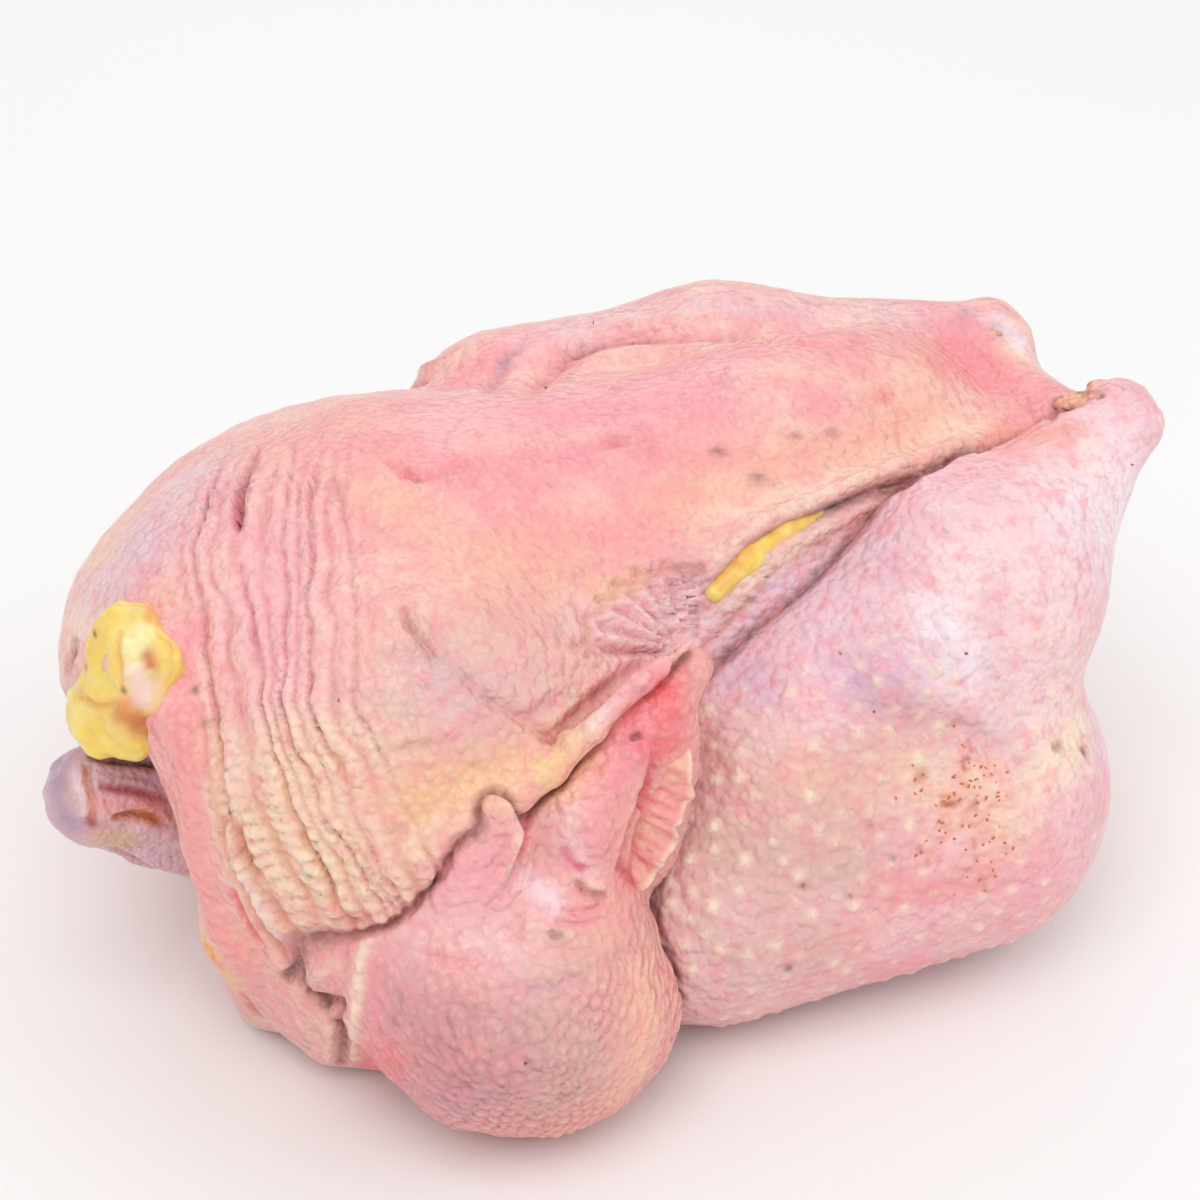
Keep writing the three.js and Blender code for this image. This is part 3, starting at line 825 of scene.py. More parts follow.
WING_LINES = (
    # Painted shadow, magenta, in the gap right of the thumb flap, and a painted highlight on the flap's
    # raised rim.
    groove((527, 812), (525, 838), (517, 864), (505, 886), (489, 906), depth=1.4, width=0.9,
        tone=Tone.MAGENTA, share=0.8, spread=1.0),
    ridge((504, 800), (514, 820), (517, 846), (509, 870), (494, 896), height=1.1, width=1.2,
        tone=Tone.CREAM, share=0.9, spread=1.3),
    stain(Tone.PINK, (496, 826), (480, 860), (460, 880), spread=5, share=0.7),
    stain(Tone.MAUVE, (540, 815), (545, 840), (552, 860), spread=3, share=0.35),
    stain(Tone.BLUSH, (572, 820), (576, 850), (590, 870), spread=4),
    ridge((588, 796), (592, 830), (588, 866), height=1.4, width=4.5, tone=Tone.PINK, share=0.6),
    groove((562, 846), (572, 862), (586, 870), depth=0.9, width=0.7, tone=Tone.MAGENTA, share=0.7),
    stain(Tone.PEARL, (530, 880), (545, 895), (552, 905), spread=3.5, share=0.8),
    groove((574, 884), (588, 892), (606, 896), depth=0.9, width=0.7),
    # Painted highlight on the crest of a small fold.
    ridge((584, 884), (596, 886), (608, 884), height=0.8, width=1.1),
    groove((560, 908), (580, 912), (604, 904), depth=0.8, width=0.7, tone=Tone.ROSE),
    groove((552, 920), (574, 926), (600, 918), depth=0.7, width=0.7, tone=Tone.ROSE),
    ridge((522, 924), (548, 930), (576, 934), height=0.9, width=1.4),
    groove((548, 931), (555, 936), (563, 936), depth=1.0, width=0.7, tone=Tone.BROWN),
    groove((657, 736), (651, 774), (639, 803), (630, 824), (624, 848), (619, 872), depth=1.6,
        tone=Tone.RED, share=0.6),
    stain(Tone.CORAL, (640, 700), (660, 690), (668, 740), spread=5, share=0.75),
    stain(Tone.ROSE, (620, 770), (636, 720), spread=5, share=0.7),
    groove((634, 733), (636, 741), depth=1.6, width=1.0, tone=Tone.DARK),
    stain(Tone.RED, (624, 872), (634, 880), spread=2.4, share=0.75),
    stain(Tone.ROSE, (600, 790), (618, 800), spread=5),
    stain(Tone.PINK, (400, 900), (440, 880), (476, 900), spread=9, share=0.7),
    stain(Tone.BLUSH, (420, 940), (480, 930), (520, 960), share=0.5),
    stain(Tone.BEIGE, (540, 990), (580, 960), spread=7, share=0.5),
    stain(Tone.ROSE, (600, 830), (610, 870), spread=4, share=0.4),
    # Painted shade on the wing's lower part.
    stain(Tone.MAUVE, (400, 1010), (470, 1040), (540, 1070), (440, 1090), spread=13),
    stain(Tone.VALLEY, (430, 1050), (500, 1070), (550, 1090), spread=11, share=0.22),
    stain(Tone.BEIGE, (560, 1030), (600, 1060), (560, 1100), spread=9),
    stain(Tone.PEACH, (636, 990), (646, 1040), (634, 1084), spread=6, share=0.8),
    stain(Tone.CORAL, (388, 1056), (372, 1066), spread=5, share=0.7),
    ridge((368, 934), (360, 970), (356, 1010), (354, 1060), height=0.7, width=1.4, share=0.9),
    stain(Tone.ROSE, (378, 966), (376, 1010), (380, 1060), spread=2.4, share=0.5),
    groove((420, 950), (450, 962), (486, 960), depth=0.6, width=1.2, tone=Tone.ROSE, share=0.5),
    groove((500, 985), (540, 990), (585, 978), depth=0.7, width=1.4, tone=Tone.MAUVE, share=0.5),
)
NECK_LINES = (
    stain(Tone.SLATE, (56, 760), (58, 800), (70, 826), spread=4.5, share=0.9),
    # Painted shade in the dark gap between the fat and the neck.
    groove((90, 756), (124, 760), (166, 764), depth=1.4, width=1.2, tone=Tone.DARK, share=0.95),
    groove((89, 764), (87, 782), (92, 800), (92, 826), depth=1.6, width=0.9, tone=Tone.OCHRE, share=0.9),
    stain(Tone.LILAC, (100, 772), (130, 774), (164, 784), spread=2.4, share=0.9),
    groove((98, 786), (130, 790), (168, 800), depth=1.4, width=0.8, tone=Tone.WRINKLE, share=0.8),
    stain(Tone.SALMON, (100, 804), (130, 806), (160, 812), spread=2.6, share=0.7),
    groove((112, 818), (138, 814), (166, 822), width=0.8, tone=Tone.OCHRE, share=1.0),
    stain(Tone.TAN, (104, 838), (126, 846), spread=3.4, share=0.9),
    groove((112, 846), (138, 862), (162, 872), depth=1.3, width=0.8, tone=Tone.MAUVE, share=0.9),
    stain(Tone.LILAC, (140, 850), (164, 862), spread=3, share=0.8),
    stain(Tone.WRINKLE, (92, 824), spread=1.6, share=0.8),
    groove((70, 764), (80, 790), (84, 816), depth=0.8, width=0.8, tone=Tone.PEARL, share=0.5),
)
FAT_LINES = (
    stain(Tone.FAT, (104, 640), (112, 680), spread=5, share=0.8),
    stain(Tone.BLUSH, (136, 676), (140, 700), (146, 690), spread=3.4, share=0.9),
    # Painted highlight on the fat's upper lobe.
    stain(Tone.PALE_FAT, (134, 650), (128, 636), (140, 630), spread=3, share=0.95),
    stain(Tone.OCHRE, (120, 716), (140, 722), spread=2.6, share=0.9),
    groove((118, 628), (116, 660), (120, 690), depth=0.9, width=0.9, tone=Tone.ORANGE, share=0.4),
    groove((72, 690), (90, 704), (112, 708), depth=0.9, width=0.9, tone=Tone.ORANGE, share=0.5),
    stain(Tone.OCHRE, (149, 656), (151, 664), spread=1.6, share=0.9),
    stain(Tone.ORANGE, (150, 620), (152, 606), spread=2, share=0.7),
    stain(Tone.ORANGE, (124, 706), (128, 716), spread=2, share=0.9),
    stain(Tone.OCHRE, (140, 728), (150, 730), spread=3, share=0.9),
    stain(Tone.BROWN, (91, 633), spread=0.8, share=0.9),
    stain(Tone.BROWN, (85, 666), spread=0.9, share=0.9),
    stain(Tone.BROWN, (122, 692), spread=0.8, share=0.9),
)
ALL_STROKES = (
    *CROP_LINES, *SHOULDER_CREASES, *BREAST_LINES, *LEG_LINES, *ARMPIT, *WING_LINES, *COLLAR_LINES,
    *SHOULDER_SLITS, *HEM_LINES, *SEAM_LINES,
)


# The skin as it is worked


class Sheet:
    """One meshed form, with the relief and the colour that are laid on it before it becomes a piece."""

    def __init__(self, points: np.ndarray, faces: np.ndarray, tone: Tone) -> None:
        """Starts from a mesh.

        Args:
            points: the vertices in millimetres.
            faces: rows of four vertices.
            tone: the colour that the sheet starts with.
        """
        self.points = points
        self.faces = faces
        self.normals = vertex_normals(points, faces)
        self.lift = np.zeros(len(points))
        self.tint = np.tile(tone.linear(), (len(points), 1))
        self.pores = np.zeros(len(points))

    def mix(self, tone: Tone, share: np.ndarray, where: np.ndarray | slice = slice(None)) -> None:
        """Mixes a tone into the colour."""
        part = unit(share)[:, None]
        self.tint[where] = self.tint[where] * (1 - part) + tone.linear() * part

    def mottle(self, *blotches: tuple[Tone, float, float, int], sharp: float = 1.6) -> None:
        """Mixes tones in uneven patches, each given by its tone, size, share and seed."""
        for tone, size, share, seed in blotches:
            self.mix(tone, share * unit(0.5 + sharp * rough(self.points, size, seed)))

    def apply(self, stroke: Stroke, line: np.ndarray) -> None:
        """Lays one stroke on the sheet.

        Args:
            stroke: the stroke.
            line: its points on the bird.
        """
        reach = max(stroke.spread * 2.2, stroke.width * 4.0)
        low, high = line.min(axis=0) - reach, line.max(axis=0) + reach
        inside = np.all((self.points > low) & (self.points < high), axis=1)
        where = np.nonzero(inside)[0]
        if len(where) == 0:
            return
        away, along = nearest_on(line, self.points[where])
        close = away < reach
        where, away, along = where[close], away[close], along[close]
        ends = np.maximum(np.sin(math.pi * along), 0) ** stroke.taper
        uneven = 1 + 0.35 * noise(self.points[where], 5, 31)
        width, height = stroke.width, stroke.height
        if stroke.profile is Profile.GROOVE:
            pit = -np.exp(-((away / width) ** 2))
            lips = 0.32 * np.exp(-(((away - 2.1 * width) / width) ** 2))
            self.lift[where] += height * ends * uneven * (pit + lips)
        elif stroke.profile is Profile.RIDGE:
            self.lift[where] += height * ends * uneven * np.exp(-((away / width) ** 2))
        # The stroke's tone: painted shade or a painted highlight for the strokes that stand for them, the
        # skin's own colour for the rest.
        patchy = 1 + 0.45 * rough(self.points[where], max(stroke.spread, 1.5), 47)
        share = stroke.share * ends**0.5 * patchy * np.exp(-((away / stroke.spread) ** 2))
        self.mix(stroke.tone, share, where)

    def shade_and_tuck_against(self, other: Form, tone: Tone = Tone.BROWN, reach: float = 1.6,
                     depth: float = 0.8) -> None:
        """Paints shade into the skin and draws it in where it meets another piece: the painted shade of the
        crease between them.

        Args:
            other: the other piece's form.
            tone: the colour of the painted shade.
            reach: how far the crease's shade reaches in millimetres.
            depth: how far the skin is drawn in.
        """
        gap = other.distance(self.points)
        near = unit(1 - np.maximum(gap, 0) / reach)
        # Painted shade in the crease where the pieces meet.
        self.mix(tone, 0.75 * near)
        self.lift -= depth * near

    def dot_with_pores(self, spacing: float, radius: float, height: float, seed: int, tone: Tone,
                       share: float) -> None:
        """Raises the small bumps of the feather follicles, strongest where the sheet's pores value is high.

        Args:
            spacing: the least distance between two bumps in millimetres.
            radius: a bump's radius.
            height: a bump's height.
            seed: the random draw.
            tone: the colour of a bump's top.
            share: how much of that colour.
        """
        centres = spread_points(self.points, spacing, seed)
        tree = KDTree(len(centres))
        for n, centre in enumerate(centres):
            tree.insert(centre, n)
        tree.balance()
        strength = np.random.default_rng(seed + 1).uniform(0.3, 1.25, len(centres))
        live = np.nonzero(self.pores > 0.02)[0]
        found = [tree.find(p) for p in self.points[live]]
        own = strength[[n for _, n, _ in found]]
        away = np.array([gap for _, _, gap in found])
        rise = np.exp(-((away / (radius * (0.6 + 0.4 * own))) ** 2)) * self.pores[live] * own
        self.lift[live] += height * rise
        self.mix(tone, share * rise, live)

    def pebble(self, weight: np.ndarray, pitch: float = 2.5, height: float = 0.95,
               lean: float = 0.35) -> None:
        """Raises wavy rows of small bumps, as on the skin of a plucked wing, with a painted highlight on
        their tops and painted shade between them.

        Args:
            weight: how strongly at each vertex, 0 to 1.
            pitch: the distance from row to row in millimetres.
            height: a bump's height.
            lean: how steeply the rows run, in radians.
        """
        c, s = math.cos(lean), math.sin(lean)
        level = self.points[:, 2] + 0.7 * np.abs(self.points[:, 1])
        run = self.points[:, 0]
        row = (level * c - run * s) / pitch + 1.2 * noise(self.points, 12,
                                                          211) + 0.3 * noise(self.points, 4, 212)
        along = (run * c + level * s) / (1.3 * pitch) + 0.5 * np.floor(row) + 0.5 * noise(self.points,
            6, 213)
        bump = (np.abs(np.sin(math.pi * row)) * np.abs(np.sin(math.pi * along))) ** 0.8
        self.lift += height * weight * (bump - 0.4)
        # Painted highlight on the bumps' tops, painted shade between them.
        self.mix(Tone.CREAM, 0.3 * weight * bump)
        self.mix(Tone.WRINKLE, 0.7 * weight * (1 - bump) ** 3)

    def shaped(self) -> np.ndarray:
        """The vertices with their relief, none of them below the ground."""
        moved = self.points + self.normals * self.lift[:, None]
        moved[:, 2] = np.maximum(moved[:, 2], 0.02)
        return moved


@dataclass(frozen=True)
class WrinkleFan:
    """The loose wrinkles that run down the shoulder from the crop to the wing.

    Each guide gives one main valley: its column in the picture at each of the rows.
    Finer ones lie between them.
    """

    rows: tuple[float, ...] = (440, 500, 550, 600, 650, 700, 750, 800, 850, 900, 940)
    guides: tuple[tuple[float, ...], ...] = (
        (232, 208, 198, 200, 207, 216, 224, 230, 243, 268, 296),
        (262, 242, 231, 250, 262, 261, 272, 290, 312, 338, 352),
        (294, 285, 280, 292, 284, 282, 294, 318, 348, 380, 396),
        (322, 308, 307, 309, 309, 312, 329, 350, 372, 398, 414),
        (352, 345, 346, 352, 356, 360, 376, 402, 428, 452, 462),
    )
    between: int = 2
    depth: float = 2.8
    bead: float = 14.0
    seed: int = 401

    def apply(self, sheet: Sheet, view: Viewpoint) -> None:
        """Lays the wrinkles on the shoulder, with painted shade in their valleys and painted highlights on
        their ridges and beads.

        Args:
            sheet: the body's sheet.
            view: the viewpoint of the guides.
        """
        back = view.axes()[2]
        spots = view.pixels_of(sheet.points)
        near = (spots[:, 0] > 150) & (spots[:, 0] < 500) & (spots[:, 1] > 420) & (spots[:, 1] < 960)
        where = np.nonzero(near & (sheet.normals @ back > 0.05))[0]
        column, row = spots[where].T
        points = sheet.points[where]
        guides = np.array([np.interp(row, self.rows, guide) for guide in self.guides])
        last = len(self.guides) - 1
        place = np.full(len(where), -1.0)
        for n in range(last):
            share = (column - guides[n]) / (guides[n + 1] - guides[n])
            place = np.where((share >= 0) & (share < 1), n + share, place)
        place = np.where(column < guides[0], (column - guides[0]) / 30, place)
        place = np.where(column > guides[last], last + (column - guides[last]) / 30, place)
        warp = 0.34 * noise(points, 9, self.seed) + 0.16 * noise(points, 3.6, self.seed + 1)
        phase = place * self.between + warp
        wave = np.abs(np.sin(math.pi * phase))
        main = 0.62 + 0.38 * np.cos(2 * math.pi * place)
        edge = unit((place + 1.0) / 0.9) * unit((last + 0.9 - place) / 1.4)
        ends = unit((row - 440) / 60) * unit((948 - row) / 30)
        live = 0.7 + 0.5 * noise(points, 14, self.seed + 2)
        fan = edge * ends * np.clip(live, 0.25, 1.2)
        low = unit((row - 700) / 90)
        bead_phase = row / self.bead + 0.6 * np.floor(phase) + 0.5 * noise(points, 6, self.seed + 3)
        beads = np.abs(np.sin(math.pi * bead_phase)) ** 0.6
        ridge_shape = wave**0.75 - 0.55
        sheet.lift[where] += self.depth * fan * main * ridge_shape
        sheet.lift[where] += 1.5 * fan * low * (beads - 0.7) * wave
        # Where the painted shade of the valleys falls.
        valley = fan * (0.5 + 0.5 * main) * unit(1 - wave / 0.55) ** 0.8
        # Painted highlight on the upper ridges.
        sheet.mix(Tone.BLUSH, 0.5 * fan * (1 - low) * unit((wave - 0.5) / 0.5), where)
        sheet.mix(Tone.YELLOW_SKIN, 0.5 * fan * low, where)
        # Painted highlight on the tops of the lower wrinkles' beads.
        sheet.mix(Tone.CREAM, 0.9 * fan * low * unit((wave - 0.5) / 0.4) * beads, where)
        # Painted shade in the valleys and between the beads.
        sheet.mix(Tone.WRINKLE, 0.75 * valley * (1 - low), where)
        sheet.mix(Tone.OCHRE, 0.85 * valley * low, where)
        sheet.mix(Tone.OCHRE, 0.45 * fan * low * unit(1 - beads / 0.6), where)


@dataclass(frozen=True)
class PleatFan:
    """The soft pleats of skin that gather at the armpit, spread like a fan round a point of the picture."""

    middle: Pixel = (694.0, 656.0)
    first: float = -2.0
    last: float = 104.0
    pleats: float = 8.0
    near: float = 12.0
    far: float = 116.0
    narrows: float = 34.0
    depth: float = 1.0
    seed: int = 421

    def apply(self, sheet: Sheet, view: Viewpoint) -> None:
        """Lays the pleats on the skin, with painted shade in their troughs and in the groove at their rim,
        and a painted highlight on their crests.

        Args:
            sheet: the sheet that carries them.
            view: the viewpoint of the middle and the radii.
        """
        off = np.array(self.middle) - view.pixels_of(sheet.points)
        turn = np.degrees(np.arctan2(off[:, 1], off[:, 0]))
        away = np.hypot(off[:, 0], off[:, 1])
        seen = (sheet.normals @ view.axes()[2] > 0) & (away < self.far * 1.2)
        where = np.nonzero(seen & (turn > self.first) & (turn < self.last))[0]
        points, away = sheet.points[where], away[where]
        share = (turn[where] - self.first) / (self.last - self.first)
        rim = self.far - self.narrows * share
        ends = unit(np.minimum(share, 1 - share) / 0.08)
        live = ends * unit((away - self.near) / 24) * unit((rim - away) / 14)
        wave = np.cos(2 * math.pi * self.pleats * share + 1.3 * noise(points, 6, self.seed))
        ring = ends * np.exp(-(((away - rim + 5 * wave) / 5) ** 2))
        sheet.lift[where] += self.depth * (live * wave - 0.9 * ring)
        sheet.mix(Tone.PINK, 0.3 * live, where)
        # Painted shade in the troughs, painted highlight on the crests, painted shade in the rim's groove.
        sheet.mix(Tone.WRINKLE, 0.35 * live * unit(-wave) ** 2, where)
        sheet.mix(Tone.BLUSH, 0.6 * live * unit(wave), where)
        sheet.mix(Tone.OCHRE, 0.5 * ring, where)


def nearest_on(line: np.ndarray, points: np.ndarray) -> tuple[np.ndarray, np.ndarray]:
    """Finds the nearest place on a line for each point.

    Args:
        line: the line's points.
        points: the points to measure.

    Returns:
        The distances, and the places from 0 to 1 along the line.
    """
    if len(line) == 1:
        return np.linalg.norm(points - line[0], axis=1), np.full(len(points), 0.5)
    away = np.full(len(points), np.inf)
    along = np.zeros(len(points))
    for n, (a, b) in enumerate(zip(line, line[1:])):
        step = b - a
        off = points - a
        t = unit(off @ step / max(step @ step, 1e-9))
        gap = off - t[:, None] * step
        length = np.linalg.norm(gap, axis=1)
        closer = length < away
        away = np.where(closer, length, away)
        along = np.where(closer, (n + t) / (len(line) - 1), along)
    return away, along


def spread_points(points: np.ndarray, spacing: float, seed: int) -> np.ndarray:
    """Picks points at random that keep a distance from each other.

    Args:
        points: the points to pick from.
        spacing: the least distance between two of them.
        seed: the random draw.

    Returns:
        The picked points.
    """
    order = np.random.default_rng(seed).permutation(len(points))[:40000]
    boxes: dict[tuple[int, int, int], list[np.ndarray]] = {}
    picked = []
    around = list(np.ndindex(3, 3, 3))
    for point in points[order]:
        i, j, k = (int(v // spacing) for v in point)
        near = (boxes.get((i + a - 1, j + b - 1, k + c - 1), ()) for a, b, c in around)
        if any(abs(p[0] - point[0]) + abs(p[1] - point[1]) + abs(p[2] - point[2]) < spacing * 1.2
               and np.sum((p - point) ** 2) < spacing**2 for group in near for p in group):
            continue
        boxes.setdefault((i, j, k), []).append(point)
        picked.append(point)
    return np.array(picked)


# Making pieces


@dataclass
class Maker:
    """Turns sheets into Blender pieces and keeps the list of what was made."""

    made: list[bpy.types.Object] = field(default_factory=list)

    @staticmethod
    def place(points: np.ndarray) -> np.ndarray:
        """Drawing millimetres as the part's metres."""
        return (points - CENTRE) / 1000

    def piece(self, name: str, sheet: Sheet, material: bpy.types.Material, slot: str,
              node: str) -> bpy.types.Object:
        """Makes a piece from a sheet.

        Args:
            name: the piece's name.
            sheet: the worked sheet.
            material: its finish.
            slot: handed on to keep, which does not use it.
            node: the CAD node that it stands for.

        Returns:
            The new object.
        """
        mesh = bpy.data.meshes.new(name)
        shaped = self.place(sheet.shaped())
        mesh.vertices.add(len(shaped))
        mesh.vertices.foreach_set("co", shaped.astype(np.float32).ravel())
        mesh.loops.add(sheet.faces.size)
        mesh.loops.foreach_set("vertex_index", sheet.faces.astype(np.int32).ravel())
        mesh.polygons.add(len(sheet.faces))
        mesh.polygons.foreach_set("loop_start", np.arange(0, sheet.faces.size, 4, dtype=np.int32))
        mesh.update(calc_edges=True)
        mesh.polygons.foreach_set("use_smooth", np.ones(len(sheet.faces), bool))
        tint = mesh.attributes.new("tint", "FLOAT_COLOR", "POINT")
        colour = np.concatenate([sheet.tint, np.ones((len(sheet.tint), 1))], axis=1)
        tint.data.foreach_set("color", colour.astype(np.float32).ravel())
        mesh.materials.append(material)
        made = bpy.data.objects.new(name, mesh)
        bpy.context.scene.collection.objects.link(made)
        return self.keep(made, slot, node)

    def keep(self, made: bpy.types.Object, slot: str, node: str) -> bpy.types.Object:
        """Puts a finished piece on the bird's body.

        Args:
            made: the piece.
            slot: not used.
            node: the CAD node that it stands for.

        Returns:
            The same piece.
        """
        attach(made, BODY)
        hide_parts(node)
        self.made.append(made)
        LOG.info("%s: %d faces", made.name, len(made.data.polygons))
        return made


# Finishes


def add(tree: bpy.types.NodeTree, kind: str, inputs: dict | None = None, **traits) -> bpy.types.Node:
    """Adds a node.

    Args:
        tree: the tree that gets it.
        kind: the node's type.
        inputs: the values of its inputs, by name or place.
        traits: its other settings.

    Returns:
        The node.
    """
    made = tree.nodes.new(kind)
    for trait, value in traits.items():
        setattr(made, trait, value)
    for key, value in (inputs or {}).items():
        made.inputs[key].default_value = value
    return made


def wire(tree: bpy.types.NodeTree, *links: tuple) -> None:
    """Joins sockets, each link given as a node and its output, then a node and its input."""
    for source, out, target, into in links:
        tree.links.new(source.outputs[out], target.inputs[into])


def grain_group() -> bpy.types.NodeTree:
    """The fine relief of wet skin: small raised grains between the follicles, with soft waves under them.

    Returns:
        The node group.
    """
    tree = bpy.data.node_groups.new("wet_skin_grain", "ShaderNodeTree")
    tree.interface.new_socket("Vector", in_out="INPUT", socket_type="NodeSocketVector")
    size = tree.interface.new_socket("Cells per metre", in_out="INPUT", socket_type="NodeSocketFloat")
    size.default_value = 400.0
    for label in ("Height", "Damp", "Tops"):
        tree.interface.new_socket(label, in_out="OUTPUT", socket_type="NodeSocketFloat")
    given = add(tree, "NodeGroupInput")
    result = add(tree, "NodeGroupOutput")
    cells = add(tree, "ShaderNodeTexVoronoi", feature="F1")
    fine = add(tree, "ShaderNodeTexNoise", {"Detail": 1.0})
    soft = add(tree, "ShaderNodeMath", {1: 0.8}, operation="MULTIPLY")
    raised = add(tree, "ShaderNodeMath", {1: -0.9}, operation="MULTIPLY_ADD")
    damp = add(tree, "ShaderNodeTexNoise", {"Scale": 60.0, "Detail": 1.0})
    tops = add(tree, "ShaderNodeMapRange", {"From Min": 0.45, "From Max": 0.1})
    for node in (cells, fine, damp):
        wire(tree, (given, "Vector", node, "Vector"))
    for node in (cells, fine):
        wire(tree, (given, "Cells per metre", node, "Scale"))
    wire(tree, (fine, "Fac", soft, 0), (cells, "Distance", raised, 0), (soft, 0, raised, 2),
         (cells, "Distance", tops, "Value"), (raised, 0, result, "Height"),
         (damp, "Fac", result, "Damp"), (tops, "Result", result, "Tops"))
    return tree


def blush_group() -> bpy.types.NodeTree:
    """Small blotches that vary a colour the way raw skin does, with pale tops on its grains.

    Returns:
        The node group.
    """
    tree = bpy.data.node_groups.new("raw_blush", "ShaderNodeTree")
    new = tree.interface.new_socket
    new("Vector", in_out="INPUT", socket_type="NodeSocketVector")
    for label in ("Color", "Blush", "Pale"):
        new(label, in_out="INPUT", socket_type="NodeSocketColor")
    for label in ("Blush share", "Pale share", "Tops"):
        new(label, in_out="INPUT", socket_type="NodeSocketFloat").default_value = 0.3
    new("Color", in_out="OUTPUT", socket_type="NodeSocketColor")
    given = add(tree, "NodeGroupInput")
    result = add(tree, "NodeGroupOutput")
    blotch = add(tree, "ShaderNodeTexNoise", {"Scale": 260.0, "Detail": 2.0, "Roughness": 0.65})
    band = add(tree, "ShaderNodeMapRange", {"From Min": 0.48, "From Max": 0.7})
    wire(tree, (given, "Vector", blotch, "Vector"), (blotch, "Fac", band, "Value"))
    colour = (given, "Color")
    for mask, share, tone in (((band, "Result"), "Blush share", "Blush"),
                              ((given, "Tops"), "Pale share", "Pale")):
        amount = add(tree, "ShaderNodeMath", operation="MULTIPLY")
        mix = add(tree, "ShaderNodeMix", data_type="RGBA")
        wire(tree, (*mask, amount, 0), (given, share, amount, 1), (amount, 0, mix, "Factor"),
             (*colour, mix, 6), (given, tone, mix, 7))
        colour = (mix, 2)
    wire(tree, (*colour, result, "Color"))
    return tree


@dataclass(frozen=True)
class Finish:
    """A wet surface coloured by the piece's own tint, which glow lets light into."""

    name: str
    blush: Tone = Tone.ROSE
    blush_share: float = 0.5
    cells: float = 420.0
    relief: float = 0.0009
    dull: float = 0.48
    shiny: float = 0.28
    glow: float = 0.0
    glow_reach: float = 0.0015
    wet: float = 0.3
    pale: Tone = Tone.CREAM
    pale_share: float = 0.14

    def material(self, grain: bpy.types.NodeTree, blush: bpy.types.NodeTree) -> bpy.types.Material:
        """Builds the material.

        Args:
            grain: the skin grain group.
            blush: the blush group.

        Returns:
            The material.
        """
        made = bpy.data.materials.new(self.name)
        made.use_nodes = True
        tree = made.node_tree
        tree.nodes.clear()
        out = add(tree, "ShaderNodeOutputMaterial")
        skin = add(tree, "ShaderNodeBsdfPrincipled", {
            "Subsurface Weight": self.glow, "Subsurface Radius": (1.0, 0.4, 0.3),
            "Subsurface Scale": self.glow_reach, "Coat Weight": self.wet, "Coat Roughness": 0.22})
        place = add(tree, "ShaderNodeTexCoord")
        tint = add(tree, "ShaderNodeAttribute", attribute_name="tint")
        flush = add(tree, "ShaderNodeGroup", {
            "Blush": (*self.blush.linear(), 1), "Blush share": self.blush_share,
            "Pale": (*self.pale.linear(), 1), "Pale share": self.pale_share}, node_tree=blush)
        cells = add(tree, "ShaderNodeGroup", {"Cells per metre": self.cells}, node_tree=grain)
        shine = add(tree, "ShaderNodeMapRange", {
            "From Min": 0.35, "From Max": 0.65, "To Min": self.shiny, "To Max": self.dull})
        bump = add(tree, "ShaderNodeBump", {"Strength": 1.0, "Distance": self.relief})
        for node in (flush, cells):
            wire(tree, (place, "Object", node, "Vector"))
        wire(tree, (tint, "Color", flush, "Color"), (cells, "Tops", flush, "Tops"),
             (flush, "Color", skin, "Base Color"), (cells, "Damp", shine, "Value"),
             (shine, "Result", skin, "Roughness"), (cells, "Height", bump, "Height"),
             (bump, "Normal", skin, "Normal"), (skin, "BSDF", out, "Surface"))
        return made


RAW_SKIN = Finish("raw_skin")
WET_FLESH = Finish("wet_flesh", blush=Tone.VIOLET, blush_share=0.3, cells=700.0, relief=0.0005, dull=0.42,
                   shiny=0.22, wet=0.5, pale_share=0.0)
SOFT_FAT = Finish("soft_fat", blush=Tone.ORANGE, blush_share=0.15, cells=300.0, relief=0.0005, dull=0.45,
                  shiny=0.3, glow=0.25, pale=Tone.PALE_FAT)
GRISTLE = Finish("gristle", blush=Tone.PINK, blush_share=0.2, cells=500.0, relief=0.0004, dull=0.4,
                 shiny=0.25, wet=0.5)


# The bird's sub-assemblies


@dataclass(frozen=True)
class Context:
    """What every sub-assembly is made with."""

    maker: Maker
    view: Viewpoint
    skin: bpy.types.Material
    flesh: bpy.types.Material
    fat: bpy.types.Material
    gristle: bpy.types.Material


